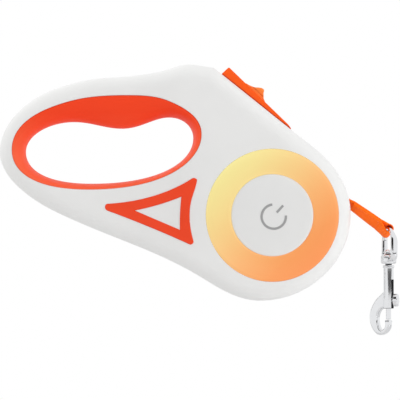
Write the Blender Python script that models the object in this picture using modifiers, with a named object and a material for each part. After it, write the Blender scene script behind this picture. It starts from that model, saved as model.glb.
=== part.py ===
"""Retractable tape leash: a two-shell casing with a hand loop, a lit push button, a thumb brake and a bolt snap.

Metres, +Z up. +X runs from the handle to the tape mouth, and -Y is the lit side.
The origin is the middle of the hand opening, where the fingers hold the part.
"""

import math

import bmesh
import bpy
from mathutils import Matrix, Vector

MM = 0.001

# Clearances
GAP = 0.3 * MM
SIDE_PLAY = 0.4 * MM
RUN_GAP = 0.9 * MM

# Casing
WALL = 2.2 * MM
EDGE_ROUND = 8.0 * MM
HANDLE_HALF = 13.0 * MM
RIM_CLEARANCE = 2.4 * MM
CASE_SAG = 3.5 * MM
TAPER_START = 12.0 * MM
TAPER_LENGTH = 28.0 * MM
TAPER_STEPS = 4
OUTLINE_STEPS = 5
FLAT_ANGLE = math.radians(0.05)

# Reel and tape
REEL_X = 82.1 * MM
REEL_Z = -31.6 * MM
TAPE_W = 8.0 * MM
TAPE_T = 0.8 * MM
TAPE_DROP = math.radians(36.0)
COIL_R = 27.5 * MM
HUB_R = 13.0 * MM
FLANGE_R = 34.5 * MM
FLANGE_T = 1.6 * MM
TOOTH_COUNT = 24
TOOTH_DEPTH = 2.3 * MM
WEB_T = 1.4 * MM
BARREL_R = 30.0 * MM
BARREL_WALL = 1.4 * MM
COVER_T = 1.0 * MM
SPRING_W = 6.0 * MM
SPRING_T = 0.5 * MM
SPRING_TURNS = 5
AXLE_R = 3.0 * MM
AXLE_SEAT = 2.0 * MM
ARBOR_R = 5.0 * MM
ARBOR_SLOT_DEPTH = 3.0 * MM
BUSH_WALL = 1.7 * MM

# Light unit
LIGHT_SET_IN = 1.3 * MM
LIGHT_T = 1.6 * MM
LIGHT_CROWN = 0.7 * MM
SKIRT_T = 1.8 * MM
BUTTON_R = 20.5 * MM
BUTTON_CROWN = 0.5 * MM
BUTTON_FLANGE = 1.7 * MM
BUTTON_FLANGE_T = 0.8 * MM
BUTTON_PLATE = 1.4 * MM
LIGHT_SPACE = 4.1 * MM
HOUSING_WALL = 1.5 * MM
HOUSING_FLOOR = 1.0 * MM
HOUSING_BOSS_WALL = 1.1 * MM
BOARD_T = 1.2 * MM
CELL_R = 10.0 * MM
CELL_H = 3.2 * MM
LED_COUNT = 6
LED_SIZE = 3.0 * MM
LED_H = 1.2 * MM
SWITCH_SIZE = 6.0 * MM
SWITCH_H = 1.1 * MM
BUTTON_SPRING_R = 7.0 * MM
BUTTON_SPRING_FLARE = 3.0 * MM
BUTTON_SPRING_WIRE_R = 0.3 * MM
BUTTON_SPRING_TURNS = 2

# Grip liners and trims
GRIP_LIP = 2.0 * MM
GRIP_SINK = 0.3 * MM
GRIP_STEPS = 4
TRIM_T = 1.4 * MM
TRIM_PROUD = 0.4 * MM
TRIM_STEPS = 3

# Case screws: head, shank and the bosses they run in
SCREW_HEAD_R = 2.6 * MM
SCREW_HEAD_T = 1.4 * MM
SCREW_R = 1.2 * MM
SCREW_SINK = 3.0 * MM
SCREW_REACH = 6.0 * MM
BOSS_WALL = 1.1 * MM
AXLE_SCREW_SINK = 0.4 * MM
AXLE_SCREW_LENGTH = 8.0 * MM
AXLE_BOSS_R = 6.0 * MM

# Brake lever, on the sloping top edge
SLOPE = math.radians(38.7)
LEVER_BACK = 63.6 * MM
CORNER_BACK = 5.2 * MM
LEVER_LENGTH = 44.5 * MM
LEVER_W = 14.0 * MM
LEVER_H = 5.1 * MM
LEVER_NOSE_H = 1.2 * MM
LEVER_SKIRT = 4.0 * MM
LEVER_REAR_GAP = 1.0 * MM
PIN_BACK = 3.0 * MM
PIN_DEPTH = 1.6 * MM
PIN_R = 1.2 * MM
PIN_SEAT = 2.6 * MM
PIVOT_BOSS_LENGTH = 6.0 * MM
PAWL_BEARING = math.radians(143.0)
PAWL_GAP = 0.5 * MM
PAWL_TIP = 2.0 * MM
PAWL_W = 2.8 * MM
PAWL_LEG = 3.8 * MM
PAWL_SET_BACK = 12.9 * MM
BRAKE_SPRING_BACK = 33.5 * MM
BRAKE_SPRING_LENGTH = 7.4 * MM
BRAKE_SPRING_R = 2.5 * MM
BRAKE_SPRING_WIRE_R = 0.35 * MM
BRAKE_SPRING_TURNS = 5
SPRING_RIB_LENGTH = 7.0 * MM
SPRING_RIB_T = 2.0 * MM

# Lock slider, the thumb nub on the lever
SLIDER_PLACE = 20.0 * MM
SLIDER_FRONT = 5.3 * MM
SLIDER_TAIL = 7.8 * MM
SLIDER_H = 4.1 * MM
SLIDER_W = 9.0 * MM
SLIDER_TRAVEL = 4.0 * MM
SLIDER_STEM = 3.0 * MM
SLIDER_STEM_W = 3.0 * MM
SLIDER_SNAP = 0.6 * MM
SLIDER_SNAP_T = 1.4 * MM

# Tape mouth and the free tape end
GUIDE_WALL = 1.4 * MM
GUIDE_T = 3.6 * MM
MOUTH_SIDE = 0.5 * MM
MOUTH_H = 4.8 * MM
TAPE_RUN = 51.1 * MM
TWIST_START = 4.0 * MM
TWIST_END = 30.0 * MM
TAPE_TWIST = math.radians(-24.0)
FOLD_START = 29.8 * MM
FOLD_T = 2.2 * MM

# Bolt snap
EYE_R = 8.0 * MM
EYE_WIRE_R = 1.0 * MM
EYE_DROP = 7.2 * MM
EYE_CORNER_R = 3.0 * MM
SWIVEL_R = 4.0 * MM
SWIVEL_H = 4.6 * MM
STEM_R = 1.6 * MM
STEM_HEAD_R = 2.6 * MM
STEM_HEAD_H = 2.2 * MM
SNAP_TURN = math.radians(-30.0)
BARREL_COLLAR_R = 3.0 * MM
BARREL_COLLAR_H = 1.2 * MM
SNAP_BARREL_R = 2.6 * MM
SNAP_BARREL_LENGTH = 22.0 * MM
SNAP_BORE_TOP = 2.5 * MM
HOOK_ROOT = 12.5 * MM
HOOK_REACH = 8.6 * MM
HOOK_DEPTH = 33.5 * MM
HOOK_WIRE_R = 1.5 * MM
HOOK_TIP = 27.7 * MM
HOOK_WEB_T = 2.4 * MM
HOOK_WEB_RISE = 0.5 * MM
BOLT_R = 1.3 * MM
BOLT_TOP = 12.0 * MM
BOLT_SLOT_TOP = 7.5 * MM
KNOB_DEPTH = 17.8 * MM
KNOB_H = 6.4 * MM
KNOB_W = 3.4 * MM
KNOB_T = 2.7 * MM
KNOB_STEM_R = 0.95 * MM
BOLT_SPRING_WIRE_R = 0.22 * MM
BOLT_SPRING_TURNS = 6

# Facets round the turned pieces
FINE = 36
MEDIUM = 24
COARSE = 14

# Depths from the middle plane, positive towards the lit side
DRUM_HALF = TAPE_W / 2 + SIDE_PLAY
FLANGE_FACE = DRUM_HALF + FLANGE_T
HOUSING_BACK = FLANGE_FACE + RUN_GAP
HOUSING_INNER = HOUSING_BACK + HOUSING_FLOOR
CELL_BACK = HOUSING_INNER + GAP
BOARD_BACK = CELL_BACK + CELL_H + GAP
BOARD_FRONT = BOARD_BACK + BOARD_T
WEB_FACE = DRUM_HALF + WEB_T
BARREL_END = WEB_FACE + SPRING_W + 2 * GAP
COVER_FACE = BARREL_END + GAP + COVER_T
BODY_HALF = max(BOARD_FRONT + LIGHT_SPACE, COVER_FACE + RUN_GAP + WALL)
INNER_HALF = BODY_HALF - WALL
RING_UNDER = BODY_HALF - LIGHT_T
FLANGE_TOP = RING_UNDER - SIDE_PLAY

# Radii and places that follow from the sizes above
LIGHT_R = FLANGE_R - LIGHT_SET_IN
HOUSING_IN_R = LIGHT_R - GAP / 3
HOUSING_R = HOUSING_IN_R + HOUSING_WALL
CASE_R = max(FLANGE_R, HOUSING_R) + RIM_CLEARANCE + WALL
CASE_DROP = CASE_R + CASE_SAG
BUSH_IN_R = AXLE_R + GAP
BUSH_R = BUSH_IN_R + BUSH_WALL
TOOTH_ROOT_R = FLANGE_R - TOOTH_DEPTH
MOUTH_W = TAPE_W + 2 * MOUTH_SIDE
SCREW_HOLE_R = SCREW_R + GAP
SCREW_BORE_R = SCREW_HEAD_R + GAP
BOSS_R = SCREW_BORE_R + BOSS_WALL
TAPER_END = TAPER_START + TAPER_LENGTH
PIN_S = LEVER_LENGTH - PIN_BACK
LEVER_TILT = math.atan2(LEVER_H - LEVER_NOSE_H, PIN_S)
BOLT_BORE_R = BOLT_R + GAP
SCREW_PLACES = (
    (-40.0 * MM, -17.0 * MM),
    (-13.0 * MM, -27.5 * MM),
    (6.0 * MM, -37.5 * MM),
    (45.0 * MM, 31.0 * MM),
    (REEL_X - 0.857 * CASE_R, REEL_Z - 0.597 * CASE_R),
)

WHITE = (0.80, 0.80, 0.79)
ORANGE_RED = (0.80, 0.075, 0.025)
BRIGHT_ORANGE = (1.0, 0.13, 0.012)
TAPE_ORANGE = (1.0, 0.15, 0.015)
AMBER = (1.0, 0.62, 0.22)
GREY_WHITE = (0.72, 0.72, 0.71)
DARK_GREY = (0.09, 0.09, 0.095)
BOARD_GREEN = (0.03, 0.16, 0.07)
STEEL = (0.60, 0.61, 0.62)
CHROME = (0.78, 0.79, 0.80)
BRASS = (0.72, 0.52, 0.22)
NATURAL = (0.66, 0.64, 0.58)


def clear_scene():
    """Remove whatever the scene holds."""
    for obj in list(bpy.data.objects):
        bpy.data.objects.remove(obj, do_unlink=True)


def make_collection(name):
    """Return a new collection in the scene."""
    collection = bpy.data.collections.new(name)
    bpy.context.scene.collection.children.link(collection)
    return collection


clear_scene()
PARTS = make_collection("retractable_leash")
CUTTERS = make_collection("leash_cutters")


def material(name, colour, roughness, metallic=0.0):
    """Return a plain Principled material."""
    made = bpy.data.materials.new(name)
    made.use_nodes = True
    shader = made.node_tree.nodes["Principled BSDF"]
    shader.inputs["Base Color"].default_value = (*colour, 1.0)
    shader.inputs["Roughness"].default_value = roughness
    shader.inputs["Metallic"].default_value = metallic
    return made


def side_frame(x, z, drop=0.0):
    """Frame of a side view: local x along +X turned down by drop, local y up, local z to the lit side."""
    return Matrix.Translation((x, 0.0, z)) @ Matrix.Rotation(drop, 4, "Y") @ Matrix.Rotation(math.pi / 2, 4, "X")


def place_along(point, direction):
    """Frame at a point with local z along a direction."""
    return Matrix.Translation(point) @ direction.to_track_quat("Z", "Y").to_matrix().to_4x4()


CASE_FRAME = side_frame(0.0, 0.0)
REEL_FRAME = side_frame(REEL_X, REEL_Z)
TAPE_FRAME = side_frame(REEL_X, REEL_Z, TAPE_DROP)
SLOPE_AT_REEL = side_frame(REEL_X, REEL_Z, SLOPE)
SLOPE_FRAME = SLOPE_AT_REEL @ Matrix.Translation((-LEVER_BACK, CASE_R, 0.0))
LEVER_FRAME = SLOPE_FRAME @ Matrix.Translation((PIN_S, -PIN_DEPTH, 0.0))


def add_object(name, data, frame):
    """Add an object to the part with its own frame."""
    obj = bpy.data.objects.new(name, data)
    obj.matrix_world = frame
    PARTS.objects.link(obj)
    return obj


def as_cutter(obj):
    """Move an object to the cutters, out of the part."""
    PARTS.objects.unlink(obj)
    CUTTERS.objects.link(obj)
    obj.hide_render = True
    obj.display_type = "WIRE"
    return obj


def finish(obj, look):
    """Give a piece its material and smooth shading."""
    obj.data.materials.clear()
    obj.data.materials.append(look)
    if obj.type == "MESH":
        obj.data.shade_smooth()
        obj.data.set_sharp_from_angle(angle=math.radians(35))
    return obj


def boolean(obj, tool, operation):
    """Cut, join or intersect an object with a tool object, which becomes a cutter."""
    if tool.name in PARTS.objects:
        as_cutter(tool)
    modifier = obj.modifiers.new(operation.lower(), "BOOLEAN")
    modifier.operation = operation
    modifier.solver = "EXACT"
    modifier.object = tool


def cut(obj, tool):
    boolean(obj, tool, "DIFFERENCE")


def join(obj, tool):
    boolean(obj, tool, "UNION")


def bake(obj):
    """Return a mesh object with an object's modifiers or curve applied, under the same name."""
    bpy.context.view_layer.update()
    evaluated = obj.evaluated_get(bpy.context.evaluated_depsgraph_get())
    mesh = bpy.data.meshes.new_from_object(evaluated)
    work = bmesh.new()
    work.from_mesh(mesh)
    bmesh.ops.remove_doubles(work, verts=work.verts, dist=1e-7)
    work.to_mesh(mesh)
    work.free()
    name = obj.name
    frame = obj.matrix_world.copy()
    bpy.data.objects.remove(obj, do_unlink=True)
    return add_object(name, mesh, frame)


def mesh_object(name, work, frame):
    """Turn a bmesh into an object of the part."""
    mesh = bpy.data.meshes.new(name)
    work.to_mesh(mesh)
    work.free()
    return add_object(name, mesh, frame)


def block(name, low, high, frame):
    """A box between two corners of a frame."""
    size = Vector(high) - Vector(low)
    middle = (Vector(high) + Vector(low)) / 2
    work = bmesh.new()
    bmesh.ops.create_cube(work, size=1.0)
    bmesh.ops.scale(work, vec=size, verts=work.verts)
    bmesh.ops.translate(work, vec=middle, verts=work.verts)
    return mesh_object(name, work, frame)


def rod(name, radius, low, high, frame, facets=COARSE):
    """A cylinder along a frame's local z, between two heights."""
    work = bmesh.new()
    bmesh.ops.create_cone(
        work, cap_ends=True, segments=facets, radius1=radius, radius2=radius, depth=high - low
    )
    bmesh.ops.translate(work, vec=(0.0, 0.0, (high + low) / 2), verts=work.verts)
    return mesh_object(name, work, frame)


def turned(name, profile, frame, steps, ring=False):
    """A profile of (radius, height) turned about the frame's local z. A ring's profile closes on itself."""
    mesh = bpy.data.meshes.new(name)
    edges = [(i, i + 1) for i in range(len(profile) - 1)]
    if ring:
        edges.append((len(profile) - 1, 0))
    mesh.from_pydata([(r, 0.0, h) for r, h in profile], edges, [])
    obj = add_object(name, mesh, frame)
    screw = obj.modifiers.new("turn", "SCREW")
    screw.axis = "Z"
    screw.angle = 2 * math.pi
    screw.steps = steps
    screw.render_steps = steps
    screw.use_merge_vertices = True
    screw.merge_threshold = 1e-6
    return obj


def heading(angle):
    """Unit vector in an outline's plane."""
    return Vector((math.cos(math.radians(angle)), math.sin(math.radians(angle))))


def smooth(x, y, angle, reach_in, reach_out):
    """An outline point in millimetres with one heading and a handle on each side."""
    return corner(x, y, angle, reach_in, angle, reach_out)


def corner(x, y, angle_in, reach_in, angle_out, reach_out):
    """An outline point in millimetres that arrives on one heading and leaves on another."""
    point = Vector((x, y)) * MM
    return point, point - heading(angle_in) * reach_in * MM, point + heading(angle_out) * reach_out * MM


def bezier_points(anchors, steps, closed=True):
    """Points of an outline, the same number between each two anchors."""
    points = []
    afters = anchors[1:] + anchors[:1] if closed else anchors[1:]
    for here, after in zip(anchors, afters):
        a, _, b = here
        d, c, _ = after
        for k in range(steps):
            t = k / steps
            s = 1 - t
            points.append(s**3 * a + 3 * s * s * t * b + 3 * s * t * t * c + t**3 * d)
    if not closed:
        points.append(anchors[-1][0])
    return points


def plate(name, loops, low, high, frame, grow=0.0, rounding=0.0):
    """A flat piece from closed loops of (x, y), between two depths, grown if asked, its rim rounded inwards."""
    curve = bpy.data.curves.new(name, "CURVE")
    curve.dimensions = "2D"
    curve.fill_mode = "BOTH"
    curve.extrude = (high - low) / 2 - rounding
    curve.bevel_depth = rounding
    curve.bevel_resolution = 1
    curve.offset = grow - rounding
    for loop in loops:
        spline = curve.splines.new("POLY")
        spline.points.add(len(loop) - 1)
        spline.use_cyclic_u = True
        for point, (x, y) in zip(spline.points, loop):
            point.co = (x, y, 0.0, 1.0)
    obj = add_object(name, curve, frame @ Matrix.Translation((0.0, 0.0, (high + low) / 2)))
    return bake(obj)


def wire(name, points, radius, frame, closed=False, rounds=2):
    """A round wire along points."""
    curve = bpy.data.curves.new(name, "CURVE")
    curve.dimensions = "3D"
    curve.bevel_depth = radius
    curve.bevel_resolution = rounds
    curve.use_fill_caps = not closed
    spline = curve.splines.new("POLY")
    spline.points.add(len(points) - 1)
    spline.use_cyclic_u = closed
    for point, place in zip(spline.points, points):
        point.co = (*place, 1.0)
    return bake(add_object(name, curve, frame))


def loft(name, sections, frame, closed=False):
    """A skin through sections of equal counts, capped at both ends or closed on itself."""
    work = bmesh.new()
    rings = [[work.verts.new(p) for p in section] for section in sections]
    pairs = list(zip(rings, rings[1:]))
    if closed:
        pairs.append((rings[-1], rings[0]))
    for first, second in pairs:
        for i in range(len(first)):
            j = (i + 1) % len(first)
            work.faces.new((first[i], first[j], second[j], second[i]))
    if not closed:
        work.faces.new(list(reversed(rings[0])))
        work.faces.new(rings[-1])
    bmesh.ops.recalc_face_normals(work, faces=work.faces)
    return mesh_object(name, work, frame)


def smoothstep(value):
    value = min(max(value, 0.0), 1.0)
    return value * value * (3 - 2 * value)


TAPER_STATIONS = [TAPER_START + TAPER_LENGTH * i / TAPER_STEPS for i in range(TAPER_STEPS + 1)]


def thickness_share(x):
    """Share of the body's thickness at a place along the casing, straight between the stations."""
    slim = HANDLE_HALF / BODY_HALF

    def at_station(place):
        return slim + (1 - slim) * smoothstep((place - TAPER_START) / TAPER_LENGTH)

    if x <= TAPER_START:
        return slim
    if x >= TAPER_END:
        return 1.0
    index = min(int((x - TAPER_START) / TAPER_LENGTH * TAPER_STEPS), TAPER_STEPS - 1)
    low, high = TAPER_STATIONS[index], TAPER_STATIONS[index + 1]
    share = (x - low) / (high - low)
    return at_station(low) * (1 - share) + at_station(high) * share


def slim_handle(obj):
    """Thin a casing piece towards the handle: split it at the stations, then scale its depth."""
    obj = bake(obj)
    work = bmesh.new()
    work.from_mesh(obj.data)
    work.transform(obj.matrix_world)
    bmesh.ops.dissolve_limit(work, angle_limit=FLAT_ANGLE, verts=work.verts, edges=work.edges)
    for station in TAPER_STATIONS:
        geometry = work.verts[:] + work.edges[:] + work.faces[:]
        bmesh.ops.bisect_plane(work, geom=geometry, dist=1e-7, plane_co=(station, 0, 0), plane_no=(1, 0, 0))
    for vert in work.verts:
        vert.co.y *= thickness_share(vert.co.x)
    bmesh.ops.triangulate(work, faces=work.faces)
    work.to_mesh(obj.data)
    work.free()
    obj.matrix_world = Matrix.Identity(4)
    return obj


def slope_mm(along, out):
    """A point of the lever's slope frame, as side-view millimetres."""
    place = SLOPE_FRAME @ Vector((along, out, 0.0))
    return place.x / MM, place.z / MM


SLOPE_HEADING = -math.degrees(SLOPE)
REEL_X_MM = REEL_X / MM
REEL_Z_MM = REEL_Z / MM
CASE_R_MM = CASE_R / MM
BOTTOM_MM = (REEL_Z - CASE_DROP) / MM
CREST_X_MM, CREST_Z_MM = slope_mm(-CORNER_BACK, 0.0)

CASE_OUTLINE = [
    smooth(-54.0, 0.0, 90, 10, 14),
    smooth(-26.0, 31.6, 19, 16, 12),
    smooth(2.0, 37.2, 2.5, 10, 9),
    smooth(26.0, 40.2, 12, 8, 5),
    smooth(CREST_X_MM - 12.7, CREST_Z_MM + 1.7, 0, 4.5, 4),
    corner(CREST_X_MM, CREST_Z_MM, -7, 4, SLOPE_HEADING, 6),
    smooth(*slope_mm(LEVER_LENGTH + 1.2 * MM, 0.0), SLOPE_HEADING, 6, 12),
    smooth(REEL_X_MM + CASE_R_MM, REEL_Z_MM, -90, 23, 23.7),
    smooth(REEL_X_MM - 5.6, BOTTOM_MM, 180, 23.4, 10),
    smooth(REEL_X_MM - 0.819 * CASE_R_MM, REEL_Z_MM - 0.844 * CASE_R_MM, 148, 10, 16),
    smooth(6.0, -43.6, 158.5, 21, 16),
    smooth(-34.0, -25.6, 148, 10, 13),
]
GRIP_OUTER = [
    smooth(-48.0, 1.0, 90, 12, 14),
    smooth(-17.0, 26.3, 14, 16, 9),
    smooth(9.5, 28.8, 0, 8, 9),
    smooth(31.0, 25.6, -22, 7, 8),
    smooth(46.7, 8.7, -90, 7, 10),
    smooth(-10.0, -18.8, 180, 42, 25),
]
HAND_OPENING = [
    smooth(-41.4, 0.0, 90, 9, 8.5),
    smooth(-17.0, 15.5, 0, 12, 9),
    smooth(7.0, 12.0, 0, 8.5, 8),
    smooth(30.5, 17.75, 0, 8, 6.5),
    smooth(43.0, 7.0, -90, 6, 10),
    smooth(-8.0, -16.5, 180, 36, 23),
]
TRIM_OUTER = [
    smooth(-1.7, -27.4, 90, 0.9, 0.9),
    smooth(0.0, -25.9, 3, 1.0, 14),
    smooth(41.5, -13.8, 32, 15, 1.0),
    smooth(43.9, -14.6, -100, 0.9, 6),
    smooth(40.2, -31.5, -90, 8, 6),
    smooth(42.6, -44.6, -72, 3, 0.8),
    smooth(40.6, -46.0, 155, 0.8, 12),
    smooth(0.0, -29.4, 160, 14, 1.0),
]
TRIM_WINDOW = [Vector((14.0, -29.4)) * MM, Vector((36.6, -22.6)) * MM, Vector((36.2, -38.8)) * MM]
CASE_LOOP = bezier_points(CASE_OUTLINE, OUTLINE_STEPS)
GRIP_LOOP = bezier_points(GRIP_OUTER, 2 * OUTLINE_STEPS)
OPENING_LOOP = bezier_points(HAND_OPENING, 2 * OUTLINE_STEPS)
TRIM_LOOPS = [bezier_points(TRIM_OUTER, TRIM_STEPS), TRIM_WINDOW]


def least_gap(name, points, thickness, near):
    """Print the least gap of a winding to itself, on points further apart along it than near."""
    length = [0.0]
    for first, second in zip(points, points[1:]):
        length.append(length[-1] + (second - first).length)
    least = min(
        (points[i] - points[j]).length
        for i in range(len(points))
        for j in range(i + 1, len(points))
        if length[j] - length[i] > near
    )
    print(f"{name}: least gap to itself {(least - thickness) / MM:.2f} mm")


def helix(radius_start, radius_end, low, high, turns, per_turn=9):
    """Points of a helix about local z."""
    points = []
    for k in range(turns * per_turn + 1):
        share = k / (turns * per_turn)
        angle = 2 * math.pi * turns * share
        radius = radius_start + (radius_end - radius_start) * share
        points.append(Vector((radius * math.cos(angle), radius * math.sin(angle), low + (high - low) * share)))
    return points


def coil_spring(name, start, end, low, high, turns, wire_r, frame, look):
    """A wire spring between two heights, its ends one wire radius inside them."""
    points = helix(start, end, low + wire_r, high - wire_r, turns)
    least_gap(name, points, 2 * wire_r, 2 * math.pi * min(start, end) * 0.6)
    return finish(wire(name, points, wire_r, frame, rounds=0), look)


def make_looks():
    """The materials, by name."""
    return {
        "white": material("casing_white", WHITE, 0.45),
        "grip": material("grip_orange_red", ORANGE_RED, 0.55),
        "trim": material("trim_orange_red", ORANGE_RED, 0.4),
        "lens": material("light_diffuser", AMBER, 0.3),
        "button": material("button_grey_white", GREY_WHITE, 0.4),
        "lever": material("lever_orange", BRIGHT_ORANGE, 0.4),
        "tape": material("tape_webbing", TAPE_ORANGE, 0.8),
        "inner": material("inner_plastic", NATURAL, 0.5),
        "dark": material("dark_plastic", DARK_GREY, 0.5),
        "board": material("circuit_board", BOARD_GREEN, 0.45),
        "steel": material("steel", STEEL, 0.3, 1.0),
        "chrome": material("chrome", CHROME, 0.1, 1.0),
        "brass": material("brass", BRASS, 0.3, 1.0),
    }


def casing_blank():
    """Both shells in one hollow piece with its screw posts and trim seats, slimmed at the handle."""
    blank = plate("casing_blank", [CASE_LOOP], -BODY_HALF, BODY_HALF, CASE_FRAME, rounding=EDGE_ROUND)
    inner_round = max(EDGE_ROUND - WALL, WALL)
    hollow = plate("casing_hollow", [CASE_LOOP], -INNER_HALF, INNER_HALF, CASE_FRAME, -WALL, inner_round)
    past = BODY_HALF + WALL
    for number, (x, z) in enumerate(SCREW_PLACES, 1):
        cut(hollow, rod(f"screw_post_{number}", BOSS_R, -past, past, side_frame(x, z)))
    cut(blank, hollow)
    floor = BODY_HALF + TRIM_PROUD - TRIM_T - GAP
    for side, low, high in (("left", floor, past), ("right", -past, -floor)):
        cut(blank, plate(f"{side}_trim_seat", TRIM_LOOPS, low, high, CASE_FRAME, grow=GAP))
    return slim_handle(blank)


def half_of(blank, name, low, high):
    """One shell: what the blank has between two world depths."""
    shell = add_object(name, blank.data.copy(), Matrix.Identity(4))
    reach = 4 * FLANGE_R + LEVER_LENGTH
    keep = block(f"{name}_side", (-reach, low, -reach), (reach, high, reach), Matrix.Identity(4))
    boolean(shell, keep, "INTERSECT")
    return shell


def screw_half(x):
    """World depth of the casing's back face at a screw."""
    return BODY_HALF * thickness_share(x)


def cut_screw_holes(left, right):
    """Holes of the case screws in their posts: blind in the left shell, sunk from outside in the right one."""
    for number, (x, z) in enumerate(SCREW_PLACES, 1):
        frame = side_frame(x, z)
        face = screw_half(x)
        seat = face - SCREW_SINK - SCREW_HEAD_T - GAP
        cut(left, rod(f"left_pilot_{number}", SCREW_HOLE_R, -GAP, SCREW_REACH + GAP, frame))
        cut(right, rod(f"right_pass_{number}", SCREW_HOLE_R, -face, GAP, frame))
        cut(right, rod(f"right_sink_{number}", SCREW_BORE_R, -face - WALL, -seat, frame))


def add_brake_seats(left, right):
    """Pocket, pivot bosses and spring rib of the brake lever, in both shells."""
    side = LEVER_W / 2 + GAP
    boss_out = side + PIN_SEAT + 2 * GAP
    half_boss = PIVOT_BOSS_LENGTH / 2
    rib_top = -LEVER_SKIRT - BRAKE_SPRING_LENGTH - 2 * GAP
    rib_s = PIN_S - BRAKE_SPRING_BACK
    for shell, sign in ((left, 1), (right, -1)):
        low, high = sorted((sign * side, sign * boss_out))
        boss = block(
            f"{shell.name}_pivot_boss",
            (PIN_S - half_boss, -PIN_DEPTH - half_boss, low),
            (PIN_S + half_boss, -WALL / 2, high),
            SLOPE_FRAME,
        )
        join(shell, boss)
        low, high = sorted((sign * GAP / 2, sign * (INNER_HALF + WALL / 2)))
        rib = block(
            f"{shell.name}_spring_rib",
            (rib_s - SPRING_RIB_LENGTH / 2, rib_top - SPRING_RIB_T, low),
            (rib_s + SPRING_RIB_LENGTH / 2, rib_top, high),
            SLOPE_FRAME,
        )
        join(shell, rib)
    pocket = block(
        "lever_pocket",
        (-LEVER_REAR_GAP, -WALL - LEVER_SKIRT, -side),
        (LEVER_LENGTH + GAP, LEVER_H, side),
        SLOPE_FRAME,
    )
    hole = rod("pin_hole", PIN_R + GAP, -side - PIN_SEAT - GAP, side + PIN_SEAT + GAP, LEVER_FRAME)
    for shell in (left, right):
        cut(shell, pocket)
        cut(shell, hole)


def guide_block(name, grow):
    """The mouthpiece's outside: a bar along the tape's line through the casing's front wall."""
    half_w = MOUTH_W / 2 + GUIDE_WALL + grow
    half_h = MOUTH_H / 2 + GUIDE_WALL + grow
    return block(name, (0.0, COIL_R - half_h, -half_w), (2 * CASE_R, COIL_R + half_h, half_w), TAPE_FRAME)


def make_shells(looks):
    """The two casing halves, with every seat that the other pieces need."""
    blank = casing_blank()
    left = half_of(blank, "left_shell", -2 * BODY_HALF, -GAP / 2)
    right = half_of(blank, "right_shell", GAP / 2, 2 * BODY_HALF)
    as_cutter(blank)
    cut_screw_holes(left, right)
    cut(left, rod("light_hole", LIGHT_R + GAP, GAP, 2 * BODY_HALF, REEL_FRAME, FINE))
    join(right, rod("axle_boss", AXLE_BOSS_R, -INNER_HALF - WALL / 2, -COVER_FACE - GAP, REEL_FRAME))
    cut(right, rod("axle_screw_pass", SCREW_HOLE_R, -2 * BODY_HALF, -GAP, REEL_FRAME))
    sink = BODY_HALF - AXLE_SCREW_SINK - SCREW_HEAD_T - GAP
    cut(right, rod("axle_screw_sink", SCREW_BORE_R, -2 * BODY_HALF, -sink, REEL_FRAME))
    add_brake_seats(left, right)
    mouth = guide_block("mouth_cut", GAP)
    past = BODY_HALF + WALL
    window = plate("grip_window", [GRIP_LOOP], -past, past, CASE_FRAME, grow=GAP)
    for shell in (left, right):
        cut(shell, mouth)
        cut(shell, window)
        finish(shell, looks["white"])


def make_grips(looks):
    """The liners of the hand opening: each rolls from the casing's face into the opening."""
    top = BODY_HALF - GRIP_SINK
    levels = [(0.0, GAP / 2)]
    for k in range(GRIP_STEPS + 1):
        turn = math.pi / 2 * k / GRIP_STEPS
        levels.append((math.sin(turn), GRIP_LIP + (top - GRIP_LIP) * math.cos(turn)))
    levels.append((1.0, GAP / 2))
    for name, side in (("left_grip", 1), ("right_grip", -1)):
        sections = []
        for share, depth in levels:
            points = [a.lerp(b, share) for a, b in zip(GRIP_LOOP, OPENING_LOOP)]
            sections.append([(p.x, p.y, side * depth) for p in points])
        finish(slim_handle(loft(name, sections, CASE_FRAME, closed=True)), looks["grip"])


def make_trims(looks):
    """The triangular inlays below the handle."""
    high = BODY_HALF + TRIM_PROUD
    low = high - TRIM_T
    for name, depths in (("left_trim", (low, high)), ("right_trim", (-high, -low))):
        finish(slim_handle(plate(name, TRIM_LOOPS, *depths, CASE_FRAME)), looks["trim"])


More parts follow.
